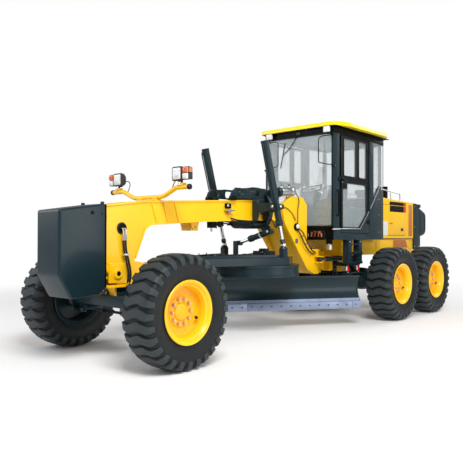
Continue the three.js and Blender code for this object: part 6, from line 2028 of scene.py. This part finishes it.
stageValues = {"floor": (0.93, 0.93, 0.94), "worldStrength": 0.38, "clear": 4.5, "gone": 12.0}


def makeStage():
    # the floor keeps the shadow near the machine and turns plain white further out
    f = Finish("studioFloor", Roughness=0.75)
    tone = f.mix(f.noise(0.6, 3) * 0.2, stageValues["floor"], (0.90, 0.90, 0.91))
    f.done(**{"Base Color": tone})
    distance = f.node("ShaderNodeVectorMath", {"operation": "LENGTH"}, f.surface, output=1)
    away = f.node("ShaderNodeMapRange", {"interpolation_type": "SMOOTHSTEP"}, distance, stageValues["clear"],
                  stageValues["gone"])
    seen = f.node("ShaderNodeLightPath")
    white = f.node("ShaderNodeEmission", None, (1.0, 1.0, 1.0), 1.0)
    mixed = f.node("ShaderNodeMixShader", None, away * seen)
    ends = mixed.link.node.inputs
    f.tree.links.new(f.shader.outputs[0], ends[1])
    f.tree.links.new(white.link, ends[2])
    output = next(n for n in f.tree.nodes if n.type == "OUTPUT_MATERIAL")
    f.tree.links.new(mixed.link, output.inputs["Surface"])
    mesh = bpy.data.meshes.new("floor")
    part = bmesh.new()
    reach = 70.0
    part.faces.new([part.verts.new((x * reach, y * reach, -0.001))
                    for x, y in ((-1, -1), (1, -1), (1, 1), (-1, 1))])
    part.to_mesh(mesh)
    part.free()
    mesh.materials.append(f.material)
    floor = bpy.data.objects.new("floor", mesh)
    bpy.context.scene.collection.objects.link(floor)


def makeLights():
    world = bpy.data.worlds.new("studio")
    bpy.context.scene.world = world
    world.use_nodes = True
    tree = world.node_tree
    background = next(n for n in tree.nodes if n.type == "BACKGROUND")
    background.inputs["Color"].default_value = (1.0, 1.0, 1.0, 1)
    path = tree.nodes.new("ShaderNodeLightPath")
    either = tree.nodes.new("ShaderNodeMath")
    either.operation = "MAXIMUM"
    tree.links.new(path.outputs["Is Camera Ray"], either.inputs[0])
    tree.links.new(path.outputs["Is Transmission Ray"], either.inputs[1])
    strength = tree.nodes.new("ShaderNodeMapRange")
    strength.inputs["To Min"].default_value = stageValues["worldStrength"]
    strength.inputs["To Max"].default_value = 1.0
    tree.links.new(either.outputs[0], strength.inputs["Value"])
    tree.links.new(strength.outputs["Result"], background.inputs["Strength"])
    for name, at, aim, size, energy, color in (
            ("key", (7.5, -7.0, 9.5), (0, -1.0, 1.0), 4.5, 1350, (1.0, 0.98, 0.95)),
            ("fill", (-8.0, -9.0, 6.0), (0, -2.0, 1.0), 7.0, 420, (0.95, 0.98, 1.0)),
            ("rear", (3.0, 11.0, 8.0), (0, 2.0, 1.5), 6.0, 480, (1.0, 1.0, 1.0)),
            ("low", (9.0, 1.0, 2.6), (0, 0.5, 1.2), 4.0, 170, (1.0, 0.99, 0.97))):
        data = bpy.data.lights.new(name, "AREA")
        data.size, data.energy, data.color = size, energy, color
        lamp = bpy.data.objects.new(name, data)
        bpy.context.scene.collection.objects.link(lamp)
        lamp.location = at
        lamp.rotation_euler = (Vector(aim) - Vector(at)).to_track_quat("-Z", "Y").to_euler()


makeStage()
makeLights()
bpy.context.scene.view_settings.view_transform = "Standard"
print("stage made")
